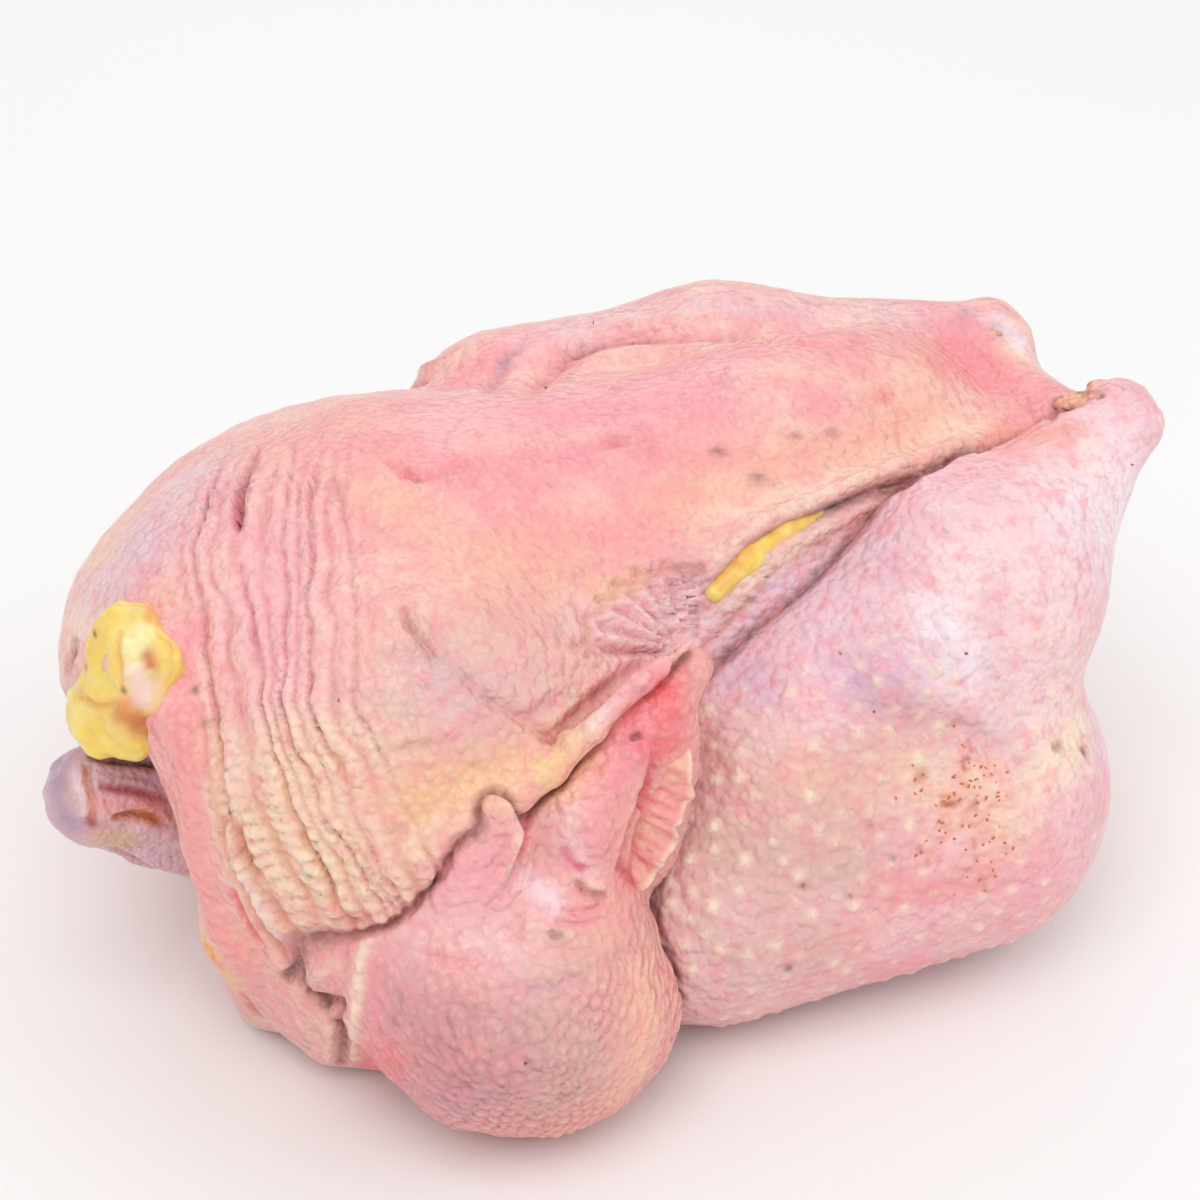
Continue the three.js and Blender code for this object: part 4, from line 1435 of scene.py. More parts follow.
@dataclass
class Trunk:
    """The plump breast, the shoulders and the back, with the cut neck skin round its hollow."""

    body: Ball = Ball((-45, -3, 61.5), (69, 67, 55.5))
    crop: Ball = Ball((-73, 6, 73), (45.8, 44.6, 36))
    shoulder_right: Ball = Ball((-56, -48, 65.5), (41.5, 29, 45))
    shoulder_left: Ball = Ball((-53, 41.5, 64), (40, 27, 38))
    back: Ball = Ball((8, -3, 35), (104, 61, 38.5))
    lower_shoulder: Ball = Ball((-66, -43, 24), (29, 27, 30))
    keel: tuple[Round, ...] = ((-40, 3, 70.5, 49), (46, 3, 87, 33.5), (72, 5, 95, 22), (89, -10, 99, 8))
    breast_edge: Ball = Ball((16, -19, 82), (48, 25, 27))
    neck_rim: tuple[Round, ...] = ((-107, -24, 93, 8.5), (-96, -40, 73.5, 9), (-94.5, -43, 35, 9),
                                   (-89.5, -35, 8, 8))
    hollow: Ball = Ball((-121.5, -17.5, 53), (24, 27, 27))
    hem: tuple[Triple, ...] = (
        (-4.9, -69.5, 104.5), (-16.3, -71.5, 98.8), (-27, -74, 92), (-37, -76.5, 86.5), (-45, -78, 83),
        (-55.3, -79, 80), (-64, -78, 72), (-72, -73, 60), (-80, -66, 49), (-90, -61, 40))
    breast_lip: tuple[Triple, ...] = (
        (90, -17, 104), (76, -24, 106.5), (60, -28.5, 106), (44, -31, 105.5), (27, -34.5, 104),
        (13, -40, 98))
    lower_folds: tuple[tuple[Triple, ...], ...] = (
        ((-90, -50, 34), (-82, -62, 25), (-72, -69, 20)), ((-92, -43, 18), (-82, -57, 10), (-70, -66, 8)))
    net: Net = Net(0.9, 2.9, (-110, -90, 26), (-26, -38, 118), 36.0)

    def form(self) -> Form:
        """The trunk's form."""
        shoulders = Blend(20, (Blend(16, (self.body, self.crop)), self.shoulder_right, self.shoulder_left))
        breast = Blend(11, (chain(12, *self.keel), self.breast_edge))
        body = Blend(13, (Blend(16, (shoulders, breast, self.back)), self.lower_shoulder))
        open_neck = Carve(6.5, Blend(6.5, (body, chain(4, *self.neck_rim))), self.hollow)
        lower = [skin_fold(4.0, *line) for line in self.lower_folds]
        return Blend(7, (Blend(2.5, (open_neck, *lower)), skin_fold(3.0, *self.hem),
                         skin_fold(3.0, *self.breast_lip)))

    def dress(self, sheet: Sheet) -> None:
        """Gives the trunk its ground colours, painted shade in its neck hollow, and its loose wrinkling.

        Args:
            sheet: the trunk's sheet.
        """
        points = sheet.points
        sheet.mottle((Tone.PEACH, 26, 0.6, 3), (Tone.ROSE, 18, 0.35, 5), (Tone.CREAM, 12, 0.45, 9),
                     (Tone.CORAL, 5, 0.16, 10))
        low = unit((40 - points[:, 2]) / 30)
        sheet.mix(Tone.BEIGE, 0.5 * low)
        # Painted shade that deepens into the neck hollow.
        hollow = np.exp(-np.maximum(self.hollow.distance(points), 0) / 2.0)
        sheet.mix(Tone.VALLEY, 0.8 * hollow)
        sheet.lift += 0.7 * rough(points, 12, 21) + 0.3 * rough(points, 4, 23)
        grain = np.clip(2.2 * rough(points, 3.4, 25), -1, 1)
        sheet.mix(Tone.ROSE, 0.3 * unit(-grain))
        sheet.mix(Tone.CREAM, 0.3 * unit(grain))


@dataclass
class Hindquarters:
    """Both legs from hock to hip, the rump and the tail."""

    right_shin: tuple[Round, ...] = ((115, -26, 108, 8.5), (72.5, -43, 82.5, 27), (22, -50, 53, 31))
    right_thigh: Limb = Limb((6.5, -54.5, 30.5, 33.5), (64, -52, 38, 38))
    left_shin: tuple[Round, ...] = ((105.5, 21, 106, 9.5), (46, 40, 92, 25.5), (-4, 43, 88.5, 27))
    left_thigh: Limb = Limb((0, 40, 40, 33.5), (80, 33.5, 37, 35))
    rump: Ball = Ball((77, 0, 70.5), (40, 33.5, 37))
    web: Limb = Limb((103, 16, 100, 8), (107, -18, 103, 8))
    right_ends: tuple[Ball, ...] = (Ball((116, -31, 109), (6.2, 6.2, 6.2)),
                                    Ball((116.5, -22.5, 109.5), (6, 6, 6)))
    left_ends: tuple[Ball, ...] = (Ball((107.5, 15.5, 108), (6, 6, 6)),
                                   Ball((108, 25, 107.5), (6.4, 6.4, 6.4)))
    tail: Limb = Limb((80, 0, 36, 32), (118.5, 3, 32, 9.5))
    under_skin: float = 2.6
    net: Net = Net(0.86, 1.3, (0, -100, 10), (126, -24, 120), 30.0)

    def right_form(self) -> Form:
        """The right leg's form."""
        return Resting(Blend(5, (Blend(10, (chain(11, *self.right_shin), self.right_thigh)),
                                 *self.right_ends)))

    def rear_form(self) -> Form:
        """The form of the left leg, the rump and the tail, with the skin that runs up to the right leg."""
        left = Blend(5, (Blend(16, (chain(11, *self.left_shin), self.left_thigh)), *self.left_ends))
        under = Inset(Blend(10, (chain(11, *self.right_shin), self.right_thigh)), self.under_skin)
        return Blend(16, (Blend(10, (Blend(14, (self.rump, under, left)), self.web)), self.tail))

    def dress(self, sheet: Sheet) -> None:
        """Gives the legs their ground colours and says where the follicles stand out.

        Args:
            sheet: the hindquarters' sheet.
        """
        points = sheet.points
        sheet.mottle((Tone.LILAC, 30, 0.6, 4), (Tone.PEACH, 18, 0.35, 6), (Tone.ROSE, 11, 0.25, 8),
                     (Tone.PEARL, 7, 0.3, 7))
        low = unit((45 - points[:, 2]) / 40)
        sheet.mix(Tone.BEIGE, 0.35 * low)
        sheet.lift += 0.55 * rough(points, 14, 41) + 0.16 * rough(points, 3, 43)
        outer = unit((np.abs(points[:, 1]) - 34) / 30)
        lower = unit((104 - points[:, 2]) / 24)
        ahead = 0.3 + 0.7 * unit((96 - points[:, 0]) / 24)
        sheet.pores = np.clip(outer * lower * ahead * (0.85 + 0.5 * rough(points, 14, 45)), 0.05, 1)


@dataclass
class Wing:
    """One wing, folded against the side: upper arm, forearm, hand, thumb flap and the web to the body."""

    upper: Ball = Ball((-44.5, -77, 28), (34.5, 28.5, 27), 20)
    joint: Limb = Limb((-70, -56, 44, 21), (-46, -74, 32, 28))
    forearm: Limb = Limb((-62.5, -67, 38.5, 17.5), (-54, -73.5, 64, 10.5))
    hand: Limb = Limb((-36, -73.5, 48, 19), (-31, -74.5, 73, 10))
    thumb: tuple[Round, ...] = ((-50.5, -80, 83, 2.6), (-54.5, -78, 74, 6), (-57, -75, 63, 8.5))
    thumb_rim: tuple[Round, ...] = ((-50, -81, 83, 2), (-46.8, -82, 74, 2.6), (-48.5, -81.5, 65, 2.4),
                                    (-52, -82, 59, 1.4))
    web: Limb = Limb((-29, -73.5, 73.5, 9.5), (-5, -69, 97.5, 5))
    palm: Ball = Ball((-41.5, -74.5, 73), (7, 5, 8))
    frill_base: Ball = Ball((-14, -75, 70), (8, 4.5, 25), 12)
    tuck: float = 6.0
    net: Net = Net(0.68)

    def form(self, left: bool = False) -> Form:
        """The wing's form.

        Args:
            left: whether it is the bird's left wing.

        Returns:
            The form.
        """
        arm = Blend(9.5, (self.upper, self.joint, self.forearm, self.hand))
        thumb = Blend(4, (chain(3, *self.thumb), chain(2, *self.thumb_rim)))
        whole = Blend(4, (Blend(6.5, (Blend(5, (arm, thumb, self.palm)), self.web)), self.frill_base))
        return Resting(Mirrored(whole, self.tuck) if left else whole)

    def dress(self, sheet: Sheet) -> None:
        """Gives a wing its ground colours and its rows of small bumps.

        Args:
            sheet: the wing's sheet.
        """
        points = sheet.points
        sheet.mottle((Tone.BEIGE, 22, 0.5, 12), (Tone.ROSE, 14, 0.35, 14),
                     (Tone.PEACH, 11, 0.35, 16))
        sheet.lift += 0.9 * rough(points, 11, 51) + 0.35 * rough(points, 4, 53)
        lower = unit((58 - points[:, 2]) / 16)
        front = 0.35 + 0.65 * unit((points[:, 0] + 82) / 14)
        sheet.pebble(np.clip(lower * front * (0.8 + 0.6 * rough(points, 15, 55)), 0.12, 1))


@dataclass
class Frill:
    """The frilled flap of skin behind the wing: a thin slab from its root to a scalloped free edge."""

    root: tuple[Triple, ...] = (
        (-9.6, -70, 96), (-13.9, -74, 88), (-18.5, -77.5, 79), (-21.9, -78.5, 72.6), (-23.4, -78.5, 65),
        (-25.5, -78, 55))
    edge: tuple[Triple, ...] = (
        (-6, -72.5, 96), (-7.5, -78, 85), (-8.8, -81, 74), (-12.5, -82.5, 66), (-17, -83, 57.5),
        (-24.5, -82, 50.5))
    thick: float = 3.2
    thin: float = 1.8
    scallops: int = 5
    depth: float = 1.0
    rows: int = 150
    columns: int = 26

    @staticmethod
    def along(line: tuple[Triple, ...], share: np.ndarray) -> np.ndarray:
        """Points at shares of a smooth line through the given ones.

        Args:
            line: the points that it passes.
            share: where, from 0 to 1.

        Returns:
            One point for each share.
        """
        given = np.array(line, float)
        padded = np.concatenate([[2 * given[0] - given[1]], given, [2 * given[-1] - given[-2]]])
        spot = unit(share) * (len(given) - 1)
        n = np.minimum(spot.astype(int), len(given) - 2)
        t = (spot - n)[:, None]
        p0, p1, p2, p3 = padded[n], padded[n + 1], padded[n + 2], padded[n + 3]
        bend = 2 * p0 - 5 * p1 + 4 * p2 - p3
        return p1 + 0.5 * t * (p2 - p0 + t * (bend + t * (3 * p1 - p0 - 3 * p2 + p3)))

    def sheet(self, left: bool, tuck: float) -> Sheet:
        """Builds the flap, closed on itself round each row.

        Args:
            left: whether it is on the bird's left side.
            tuck: how much closer in the left wing lies.

        Returns:
            The flap's sheet.
        """
        t = (np.arange(self.rows) + 0.5) / self.rows
        s = np.linspace(0, 1, self.columns)
        start, end = self.along(self.root, t), self.along(self.edge, t)
        reach = end - start
        tangent = np.gradient(start, axis=0)
        outward = np.cross(reach, tangent)
        outward /= np.linalg.norm(outward, axis=1, keepdims=True)
        ease = np.sin(math.pi * t) ** 0.4
        wave = np.cos(2 * math.pi * self.scallops * t + 0.6 * np.sin(9 * t))
        pleat = np.sin(2 * math.pi * 13 * t + 2.0 * np.sin(13 * t))
        crimp = 0.3 * pleat
        ragged = 0.05 * np.sin(2 * math.pi * 3.3 * t + 1) + 0.03 * np.sin(2 * math.pi * 8.7 * t)
        grid = []
        for share, side in [(u, 1) for u in s] + [(u, -1) for u in s[::-1]]:
            middle = start + reach * (share * (1 + share * (0.04 * wave + ragged)))[:, None]
            half = (0.5 + 0.5 * ease) * (self.thick + (self.thin - self.thick) * share) * 0.5
            lip = math.sqrt(max(1 - share**8, 0.0))
            off = self.depth * share * ease * wave + crimp * share + side * half * lip
            grid.append(middle + outward * off[:, None])
        rows = np.stack(grid, axis=1)
        sides = rows.shape[1]
        points = rows.reshape(-1, 3)
        faces = [
            (r * sides + c, r * sides + (c + 1) % sides, (r + 1) * sides + (c + 1) % sides,
             (r + 1) * sides + c)
            for r in range(self.rows - 1)
            for c in range(sides)
        ]
        for row, turn in ((0, -1), (self.rows - 1, 1)):
            for c in range(self.columns - 1):
                ring = [row * sides + c, row * sides + c + 1, row * sides + sides - 2 - c,
                        row * sides + sides - 1 - c]
                faces.append(tuple(ring[::turn]))
        quads = np.array(faces)
        if left:
            points = points * np.array([1, -1, 1]) - np.array([0, tuck, 0])
            quads = quads[:, ::-1]
        if signed_volume(points, quads) < 0:
            quads = quads[:, ::-1]
        sheet = Sheet(points, quads, Tone.SALMON)
        outer = np.tile(np.concatenate([s, s[::-1]]), self.rows)
        sheet.mix(Tone.PEACH, 0.7 * unit(0.5 + 1.5 * rough(points, 7, 61)))
        lines = np.repeat(unit(-pleat - 0.3), len(outer) // self.rows)
        sheet.mix(Tone.RED, 0.6 * lines * unit((0.95 - outer) / 0.3))
        sheet.mix(Tone.CREAM, 0.8 * unit((outer - 0.84) / 0.14))
        sheet.mix(Tone.RED, 0.8 * unit((0.45 - outer) / 0.35))
        sheet.lift += 0.35 * rough(points, 3, 63)
        return sheet


def signed_volume(points: np.ndarray, quads: np.ndarray) -> float:
    """The volume inside a closed quad mesh, negative if its faces look inwards."""
    a, b, c, d = (points[quads[:, n]] for n in range(4))
    return float(np.sum(np.cross(a, b) * c) + np.sum(np.cross(a, c) * d)) / 6


@dataclass
class NeckStump:
    """The skinned stump of the neck in its hollow."""

    tube: Limb = Limb((-92, -6, 44.5, 20), (-119, -16, 57.5, 11))
    strands: int = 6
    groove: float = 1.3
    net: Net = Net(0.55)

    def form(self) -> Form:
        """The stump's form."""
        return Strands(self.tube, self.strands, self.groove)

    def dress(self, sheet: Sheet) -> None:
        """Gives the stump its grey and purple muscle with fine fibres.

        Args:
            sheet: the stump's sheet.
        """
        points = sheet.points
        sheet.mottle((Tone.SLATE, 9, 0.5, 71), (Tone.TAN, 7, 0.5, 73), (Tone.LILAC, 5, 0.4, 75))
        fibres = points * np.array([0.25, 1, 1])
        sheet.lift += 0.6 * rough(fibres, 2.4, 77) + 0.6 * rough(points, 7, 79)
        sheet.mix(Tone.MAUVE, 0.4 * unit(-2 * noise(fibres, 1.6, 78)))


@dataclass
class CropFat:
    """The lobes of bright yellow fat at the crop."""

    lobes: tuple[Ball, ...] = (
        Ball((-108, -18, 91), (10, 12, 13.5)), Ball((-112, -25, 85), (8, 9, 9)),
        Ball((-115.5, -19, 80), (9, 10.5, 8)), Ball((-105.5, -29, 98), (6, 6.5, 5.5)),
        Ball((-106.5, -30, 90), (5.5, 6, 8)), Ball((-109, -28, 82),
                                                   (7, 6.5, 6.5)), Ball((-111, -29, 93), (5, 5.5, 8)))
    net: Net = Net(0.6)

    def form(self) -> Form:
        """The fat's form."""
        return Blend(4, self.lobes)

    def dress(self, sheet: Sheet) -> None:
        """Gives the fat its soft lumps and its pale and deep yellows.

        Args:
            sheet: the fat's sheet.
        """
        points = sheet.points
        sheet.mottle((Tone.PALE_FAT, 9, 0.6, 81), (Tone.ORANGE, 6, 0.16, 83))
        sheet.lift += 1.9 * rough(points, 7, 85) - 0.5 + 0.5 * rough(points, 2.6, 87)


@dataclass
class SeamFat:
    """The strip of fat in the seam between the breast and the leg."""

    line: tuple[Round, ...] = ((12, -41.5, 95.5, 2.2), (20, -38.5, 99.5, 2.9), (30, -34.5, 102.8, 2.7),
                               (43, -32, 103.6, 1.7))
    net: Net = Net(0.4)

    def form(self) -> Form:
        """The strip's form."""
        return chain(2, *self.line)

    def dress(self, sheet: Sheet) -> None:
        """Gives the strip its uneven yellow.

        Args:
            sheet: the strip's sheet.
        """
        points = sheet.points
        sheet.mottle((Tone.ORANGE, 5, 0.5, 91), (Tone.PALE_FAT, 4, 0.4, 93))
        sheet.lift += 0.45 * rough(points, 3.4, 95)


@dataclass
class Hock:
    """The cut end of one leg: the two knuckles of the joint under their skin, with torn shreds on it."""

    name: str
    knuckles: tuple[Round, ...]
    shreds: tuple[Ball, ...]
    net: Net = Net(0.5)

    def form(self) -> Form:
        """The joint's form."""
        return Blend(2, tuple(Ball((x, y, z), (r, r, r)) for x, y, z, r in self.knuckles))

    def shred_form(self) -> Form:
        """The torn shreds' form."""
        return Blend(1.0, self.shreds)

    def dress(self, sheet: Sheet) -> None:
        """Gives the joint its pale pink with gristle and blood in it.

        Args:
            sheet: the joint's sheet.
        """
        sheet.mottle((Tone.PEACH, 7, 0.6, 101), (Tone.PEARL, 5, 0.6, 103),
                     (Tone.CORAL, 3, 0.4, 104))
        sheet.lift += 0.6 * rough(sheet.points, 5, 105) + 0.3 * rough(sheet.points, 2, 106) - 0.2


RIGHT_HOCK = Hock(
    "hock_right",
    ((118.5, -31, 110, 5), (119.5, -23.5, 111, 4.6)),
    (Ball((107, -21.5, 112.6), (4.0, 2.8, 1.4), -14), Ball((111, -23, 114.2), (2.6, 2.4, 1.2), 6),
     Ball((104.5, -18.5, 111.2), (2.6, 2, 1.2), -24), Ball((118.5, -27, 114.6), (4.4, 1.8, 0.9), 34),
     Ball((113, -20.5, 113.4), (3.4, 3.0, 2.2), 0)),
)
LEFT_HOCK = Hock(
    "hock_left",
    ((110.5, 16, 109, 4.6), (111, 24, 108.5, 5)),
    (Ball((104.5, 13, 112.8), (2.6, 1.6, 0.7), 12), Ball((108.5, 17, 114), (2, 1.8, 0.7), -8)),
)


# Small things that repeat


@dataclass(frozen=True)
class Scatter:
    """A Geometry Nodes tree that stands many small pieces on a surface."""

    name: str
    density: float
    seed: int
    length: float
    radius: float
    lean: float
    bead: bool
    flat: float = 1.0

    def tree(self, material: bpy.types.Material) -> bpy.types.NodeTree:
        """Builds the tree.

        Args:
            material: the finish of the small pieces.

        Returns:
            The node tree with its named inputs.
        """
        tree = bpy.data.node_groups.new(self.name, "GeometryNodeTree")
        new = tree.interface.new_socket
        new("Geometry", in_out="INPUT", socket_type="NodeSocketGeometry")
        sizes = {"Density": self.density, "Length": self.length, "Radius": self.radius, "Lean": self.lean}
        for label, value in sizes.items():
            new(label, in_out="INPUT", socket_type="NodeSocketFloat").default_value = value
        new("Seed", in_out="INPUT", socket_type="NodeSocketInt").default_value = self.seed
        new("Geometry", in_out="OUTPUT", socket_type="NodeSocketGeometry")
        given = add(tree, "NodeGroupInput")
        result = add(tree, "NodeGroupOutput")
        spots = add(tree, "GeometryNodeDistributePointsOnFaces")
        weight = add(tree, "GeometryNodeInputNamedAttribute", {"Name": self.name}, data_type="FLOAT")
        dense = add(tree, "ShaderNodeMath", operation="MULTIPLY")
        wire(tree, (given, "Density", dense, 0), (weight, "Attribute", dense, 1),
             (given, "Geometry", spots, "Mesh"), (dense, 0, spots, "Density"),
             (given, "Seed", spots, "Seed"))
        if self.bead:
            shape = add(tree, "GeometryNodeMeshIcoSphere", {"Subdivisions": 2})
            wire(tree, (given, "Radius", shape, "Radius"))
        else:
            shape = add(tree, "GeometryNodeMeshCone", {"Vertices": 7, "Side Segments": 2})
            wire(tree, (given, "Radius", shape, "Radius Bottom"), (given, "Length", shape, "Depth"))
            tip = add(tree, "ShaderNodeMath", {1: 0.4}, operation="MULTIPLY")
            wire(tree, (given, "Radius", tip, 0), (tip, 0, shape, "Radius Top"))
        stand = add(tree, "GeometryNodeInstanceOnPoints")
        lean = add(tree, "FunctionNodeRandomValue", data_type="FLOAT_VECTOR")
        size = add(tree, "FunctionNodeRandomValue", {
            "Min": (0.5, 0.5, 0.5 * self.flat), "Max": (1.5, 1.5, 1.3 * self.flat)},
            data_type="FLOAT_VECTOR")
        under = add(tree, "ShaderNodeMath", {1: -1.0}, operation="MULTIPLY")
        turn = add(tree, "FunctionNodeRotateRotation", rotation_space="LOCAL")
        real = add(tree, "GeometryNodeRealizeInstances")
        dress = add(tree, "GeometryNodeSetMaterial", {"Material": material})
        wire(tree, (given, "Lean", under, 0), (under, 0, lean, "Min"), (given, "Lean", lean, "Max"),
             (given, "Seed", lean, "Seed"), (given, "Seed", size, "Seed"),
             (spots, "Rotation", turn, "Rotation"), (lean, "Value", turn, "Rotate By"),
             (spots, "Points", stand, "Points"), (shape, "Mesh", stand, "Instance"),
             (turn, "Rotation", stand, "Rotation"), (size, "Value", stand, "Scale"),
             (stand, "Instances", real, "Geometry"), (real, "Geometry", dress, "Geometry"),
             (dress, "Geometry", result, "Geometry"))
        return tree

    def grow(self, host: bpy.types.Object, weight: np.ndarray,
             material: bpy.types.Material) -> bpy.types.Object | None:
        """Grows the small pieces on a host and returns them as a plain mesh.

        Args:
            host: the piece that carries them.
            weight: how dense they are at each vertex, 0 to 1.
            material: their finish.

        Returns:
            The new object, or None where none fell.
        """
        carrier = host.copy()
        carrier.data = host.data.copy()
        for key in [k for k in carrier.keys() if k.startswith("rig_")]:
            del carrier[key]
        carrier.parent = None
        bpy.context.scene.collection.objects.link(carrier)
        values = carrier.data.attributes.new(self.name, "FLOAT", "POINT")
        values.data.foreach_set("value", weight.astype(np.float32))
        tree = self.tree(material)
        grower = carrier.modifiers.new(self.name, "NODES")
        grower.node_group = tree
        for item in tree.interface.items_tree:
            if item.in_out == "INPUT" and item.socket_type != "NodeSocketGeometry":
                grower[item.identifier] = item.default_value
        graph = bpy.context.evaluated_depsgraph_get()
        mesh = bpy.data.meshes.new_from_object(carrier.evaluated_get(graph))
        carrier.modifiers.remove(grower)
        bpy.data.objects.remove(carrier)
        if len(mesh.polygons) == 0:
            bpy.data.meshes.remove(mesh)
            return None
        mesh.name = f"{self.name}_{host.name}"
        made = bpy.data.objects.new(mesh.name, mesh)
        bpy.context.scene.collection.objects.link(made)
        return made


PIN_FEATHERS = Scatter("pin_feather", density=420.0, seed=11, length=0.0009, radius=0.00025, lean=0.5,
                       bead=False)
SKIN_FLAKES = Scatter("skin_flake", density=520000.0, seed=13, length=0.0006, radius=0.0004, lean=0.6,
                      bead=True, flat=0.3)


@dataclass(frozen=True)
class Speck:
    """The dry finish of feather stubs and flakes."""

    name: str
    deep: Tone
    light: Tone

    def material(self) -> bpy.types.Material:
        """Builds the material, which varies from speck to speck.

        Returns:
            The material.
        """
        made = bpy.data.materials.new(self.name)
        made.use_nodes = True
        tree = made.node_tree
        skin = tree.nodes["Principled BSDF"]
        place = add(tree, "ShaderNodeTexCoord")
        vary = add(tree, "ShaderNodeTexNoise", {"Scale": 180.0})
        mix = add(tree, "ShaderNodeMix", {6: (*self.deep.linear(), 1), 7: (*self.light.linear(), 1)},
                        data_type="RGBA")
        wire(tree, (place, "Object", vary, "Vector"), (vary, "Fac", mix, "Factor"),
                   (mix, 2, skin, "Base Color"))
        skin.inputs["Roughness"].default_value = 0.5
        return made


# The studio


@dataclass(frozen=True)
class Studio:
    """A plain pale floor with soft light from above."""

    floor_side: float = 6.0
    sky: float = 0.7

    def build(self) -> None:
        """Makes the floor, the lights and the surrounding light."""
        half = self.floor_side / 2
        mesh = bpy.data.meshes.new("floor")
        mesh.from_pydata([(-half, -half, 0), (half, -half, 0), (half, half, 0), (-half, half, 0)], [],
                         [(0, 1, 2, 3)])
        floor = bpy.data.objects.new("floor", mesh)
        paint = bpy.data.materials.new("pale_floor")
        paint.use_nodes = True
        paint.node_tree.nodes["Principled BSDF"].inputs["Base Color"].default_value = (0.93, 0.93, 0.93, 1)
        paint.node_tree.nodes["Principled BSDF"].inputs["Roughness"].default_value = 0.8
        mesh.materials.append(paint)
        bpy.context.scene.collection.objects.link(floor)
        world = bpy.data.worlds.new("soft_light")
        world.use_nodes = True
        world.node_tree.nodes["Background"].inputs["Color"].default_value = (1, 1, 1, 1)
        world.node_tree.nodes["Background"].inputs["Strength"].default_value = self.sky
        bpy.context.scene.world = world
        self.lamp("key_light", (-0.35, -0.55, 1.25), 0.9, 6.0)
        self.lamp("fill_light", (0.9, -0.5, 0.8), 0.9, 2.0)
        self.lamp("back_light", (0.2, 1.1, 0.9), 1.0, 2.5)
        bpy.context.scene.view_settings.view_transform = "Standard"

    @staticmethod
    def lamp(name: str, place: Triple, side: float, power: float) -> None:
        """Hangs one soft lamp that faces the bird.

        Args:
            name: the lamp's name.
            place: where it hangs, in metres.
            side: the side of its square in metres.
            power: its power in watts.
        """
        data = bpy.data.lights.new(name, "AREA")
        data.energy = power
        data.size = side
        made = bpy.data.objects.new(name, data)
        made.location = place
        made.rotation_mode = "QUATERNION"
        made.rotation_quaternion = (Vector((0, 0, 0.05)) - Vector(place)).to_track_quat("-Z", "Y")
        bpy.context.scene.collection.objects.link(made)


# The whole bird


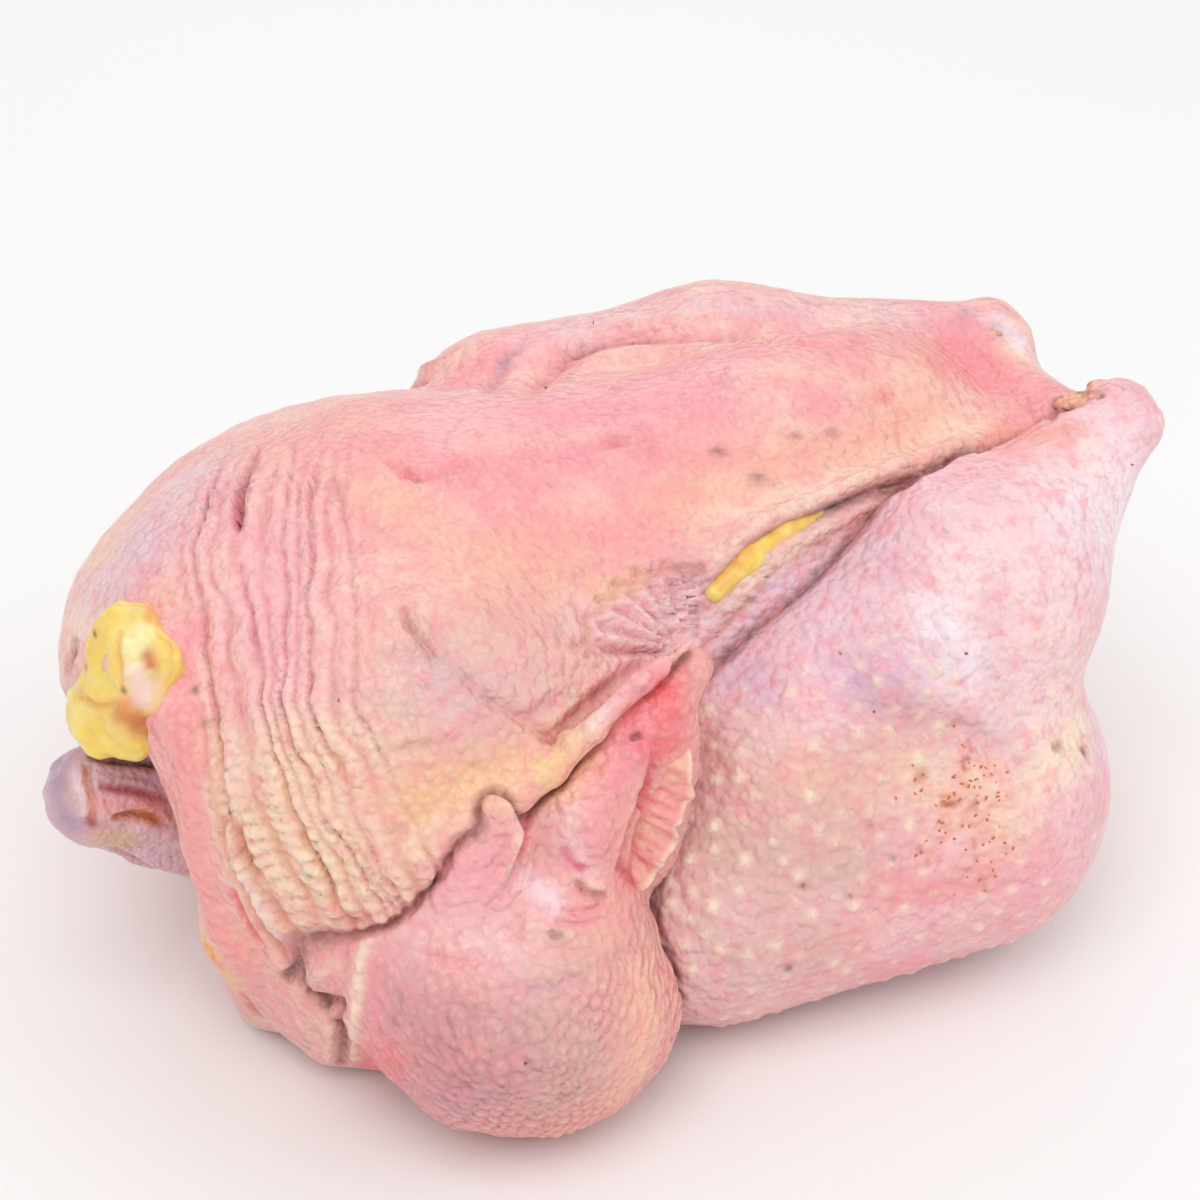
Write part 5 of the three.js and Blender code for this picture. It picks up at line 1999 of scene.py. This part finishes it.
@dataclass
class Chicken:
    """The whole bird: its sub-assemblies, built in order."""

    context: Context
    trunk: Trunk = field(default_factory=Trunk)
    hind: Hindquarters = field(default_factory=Hindquarters)
    wing: Wing = field(default_factory=Wing)
    frill: Frill = field(default_factory=Frill)
    neck: NeckStump = field(default_factory=NeckStump)
    crop_fat: CropFat = field(default_factory=CropFat)
    seam_fat: SeamFat = field(default_factory=SeamFat)
    hocks: tuple[Hock, ...] = (RIGHT_HOCK, LEFT_HOCK)
    abrasion_middle: Pixel = (958.0, 815.0)
    abrasion_reach: Pixel = (46.0, 74.0)

    def build(self) -> None:
        """Builds every piece of the bird."""
        make = self.context.maker
        body = Resting(Blend(7, (self.trunk.form(), self.hind.rear_form())))
        parts = {
            "body_skin": (self.trunk, body, Tone.PINK),
            "leg_right_skin": (self.hind, self.hind.right_form(), Tone.PINK),
            "wing_right_skin": (self.wing, self.wing.form(), Tone.SALMON),
            "wing_left_skin": (self.wing, self.wing.form(left=True), Tone.SALMON),
        }
        forms = [form for _, form, _ in parts.values()]
        whole = Blend(0.5, tuple(forms))
        strokes = [(stroke, stroke.line(self.context.view, whole)) for stroke in ALL_STROKES]
        for name, (part, form, tone) in parts.items():
            sheet = Sheet(*part.net.mesh(form), tone)
            part.dress(sheet)
            for stroke, line in strokes:
                sheet.apply(stroke, line)
            if name == "body_skin":
                WrinkleFan().apply(sheet, self.context.view)
                PleatFan().apply(sheet, self.context.view)
            # Painted shade where each skin meets the other pieces, with the skin drawn in there.
            sheet.shade_and_tuck_against(Blend(0.5, tuple(other for other in forms if other is not form)))
            if name == "leg_right_skin":
                sheet.dot_with_pores(spacing=6.2, radius=1.3, height=0.7, seed=201, tone=Tone.CREAM,
                                     share=1.0)
                self.graze(sheet)
            made = make.piece(name, sheet, self.context.skin, "skin", "carcass")
            self.scatter(made, sheet)
        self.build_frills()
        self.build_insides()
        self.build_hocks()

    def worn(self, sheet: Sheet) -> np.ndarray:
        """Where the right thigh's skin is grazed.

        Args:
            sheet: the leg's sheet.

        Returns:
            How worn each vertex is, 0 to 1.
        """
        seen = self.context.view.pixels_of(sheet.points)
        off = (seen - np.array(self.abrasion_middle)) / np.array(self.abrasion_reach)
        faces_camera = sheet.normals @ self.context.view.axes()[2] > 0
        patchy = unit(0.5 + 1.6 * rough(sheet.points, 7, 311))
        return unit(1.4 - np.linalg.norm(off, axis=1)) * patchy * faces_camera

    def graze(self, sheet: Sheet) -> None:
        """Roughens and reddens the grazed skin of the right thigh.

        Args:
            sheet: the leg's sheet.
        """
        worn = unit(1.5 * self.worn(sheet))
        speckle = unit(0.3 + 2.2 * rough(sheet.points, 3.2, 321))
        sheet.mix(Tone.SALMON, 0.35 * worn)
        sheet.mix(Tone.ORANGE, 0.35 * worn * speckle)
        sheet.mix(Tone.VALLEY, 0.75 * worn * unit(3 * noise(sheet.points, 1.5, 322) - 0.5))
        sheet.mix(Tone.CREAM, 0.6 * worn * unit(2.5 * noise(sheet.points, 2.6, 324) - 0.6))
        sheet.lift += 0.5 * worn * rough(sheet.points, 2.4, 323)

    def scatter(self, host: bpy.types.Object, sheet: Sheet) -> None:
        """Grows the feather stubs that plucking left in the skin.

        Args:
            host: the piece that carries them.
            sheet: its sheet.
        """
        open_skin = unit(sheet.points[:, 2] / 20) * unit(0.4 + rough(sheet.points, 30, 301))
        kinds = [(PIN_FEATHERS, open_skin, self.speck("feather_stub", Tone.DARK, Tone.OCHRE))]
        if host.name == "leg_right_skin":
            dry = self.speck("dry_skin", Tone.VALLEY, Tone.ORANGE)
            kinds.append((SKIN_FLAKES, self.worn(sheet) * 0.6, dry))
        for kind, weight, material in kinds:
            grown = kind.grow(host, weight, material)
            if grown is not None:
                self.context.maker.keep(grown, "skin", "carcass")

    def build_frills(self) -> None:
        """Builds the flap of skin behind each wing."""
        for name, left in (("frill_right", False), ("frill_left", True)):
            sheet = self.frill.sheet(left, self.wing.tuck)
            self.context.maker.piece(name, sheet, self.context.skin, "skin", "carcass")

    def build_insides(self) -> None:
        """Builds the neck stump and the two pieces of fat."""
        for name, part, tone, material, slot, node, lines in (
            ("neck_stump", self.neck, Tone.FLESH, self.context.flesh, "neck_flesh", "neck", NECK_LINES),
            ("crop_fat_lobes", self.crop_fat, Tone.FAT, self.context.fat, "crop_fat", "crop_fat",
             FAT_LINES),
            ("seam_fat_strip", self.seam_fat, Tone.FAT, self.context.fat, "seam_fat", "seam_fat", ()),
        ):
            form = part.form()
            sheet = Sheet(*part.net.mesh(form), tone)
            part.dress(sheet)
            for stroke in lines:
                sheet.apply(stroke, stroke.line(self.context.view, form))
            self.context.maker.piece(name, sheet, material, slot, node)

    def build_hocks(self) -> None:
        """Builds the cut ends of both legs."""
        for hock in self.hocks:
            sheet = Sheet(*hock.net.mesh(hock.form()), Tone.BLUSH)
            hock.dress(sheet)
            self.context.maker.piece(hock.name, sheet, self.context.gristle, "skin", "carcass")
            torn = Sheet(*Net(0.3).mesh(hock.shred_form()), Tone.ORANGE)
            torn.mottle((Tone.TAN, 3, 0.8, 111), (Tone.SALMON, 2.4, 0.9, 114),
                        (Tone.CREAM, 3.2, 0.6, 115))
            torn.mottle((Tone.BROWN, 2, 0.5, 112), sharp=2.4)
            torn.lift += 0.7 * rough(torn.points, 2.2, 113)
            self.context.maker.piece(f"{hock.name}_torn_rim", torn, self.context.skin, "skin", "carcass")

    @staticmethod
    def speck(name: str, deep: Tone, light: Tone) -> bpy.types.Material:
        """A finish of small dry pieces, made once."""
        return bpy.data.materials.get(name) or Speck(name, deep, light).material()


def main() -> None:
    """Builds the studio and the bird."""
    logging.basicConfig(level=logging.INFO, format="%(name)s %(message)s")
    grain, blush = grain_group(), blush_group()
    view = Viewpoint()
    context = Context(
        maker=Maker(),
        view=view,
        skin=RAW_SKIN.material(grain, blush),
        flesh=WET_FLESH.material(grain, blush),
        fat=SOFT_FAT.material(grain, blush),
        gristle=GRISTLE.material(grain, blush),
    )
    view.camera()
    Studio().build()
    Chicken(context).build()
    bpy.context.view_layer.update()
    LOG.info("pieces: %d", len(context.maker.made))


if __name__ == "__main__":
    main()
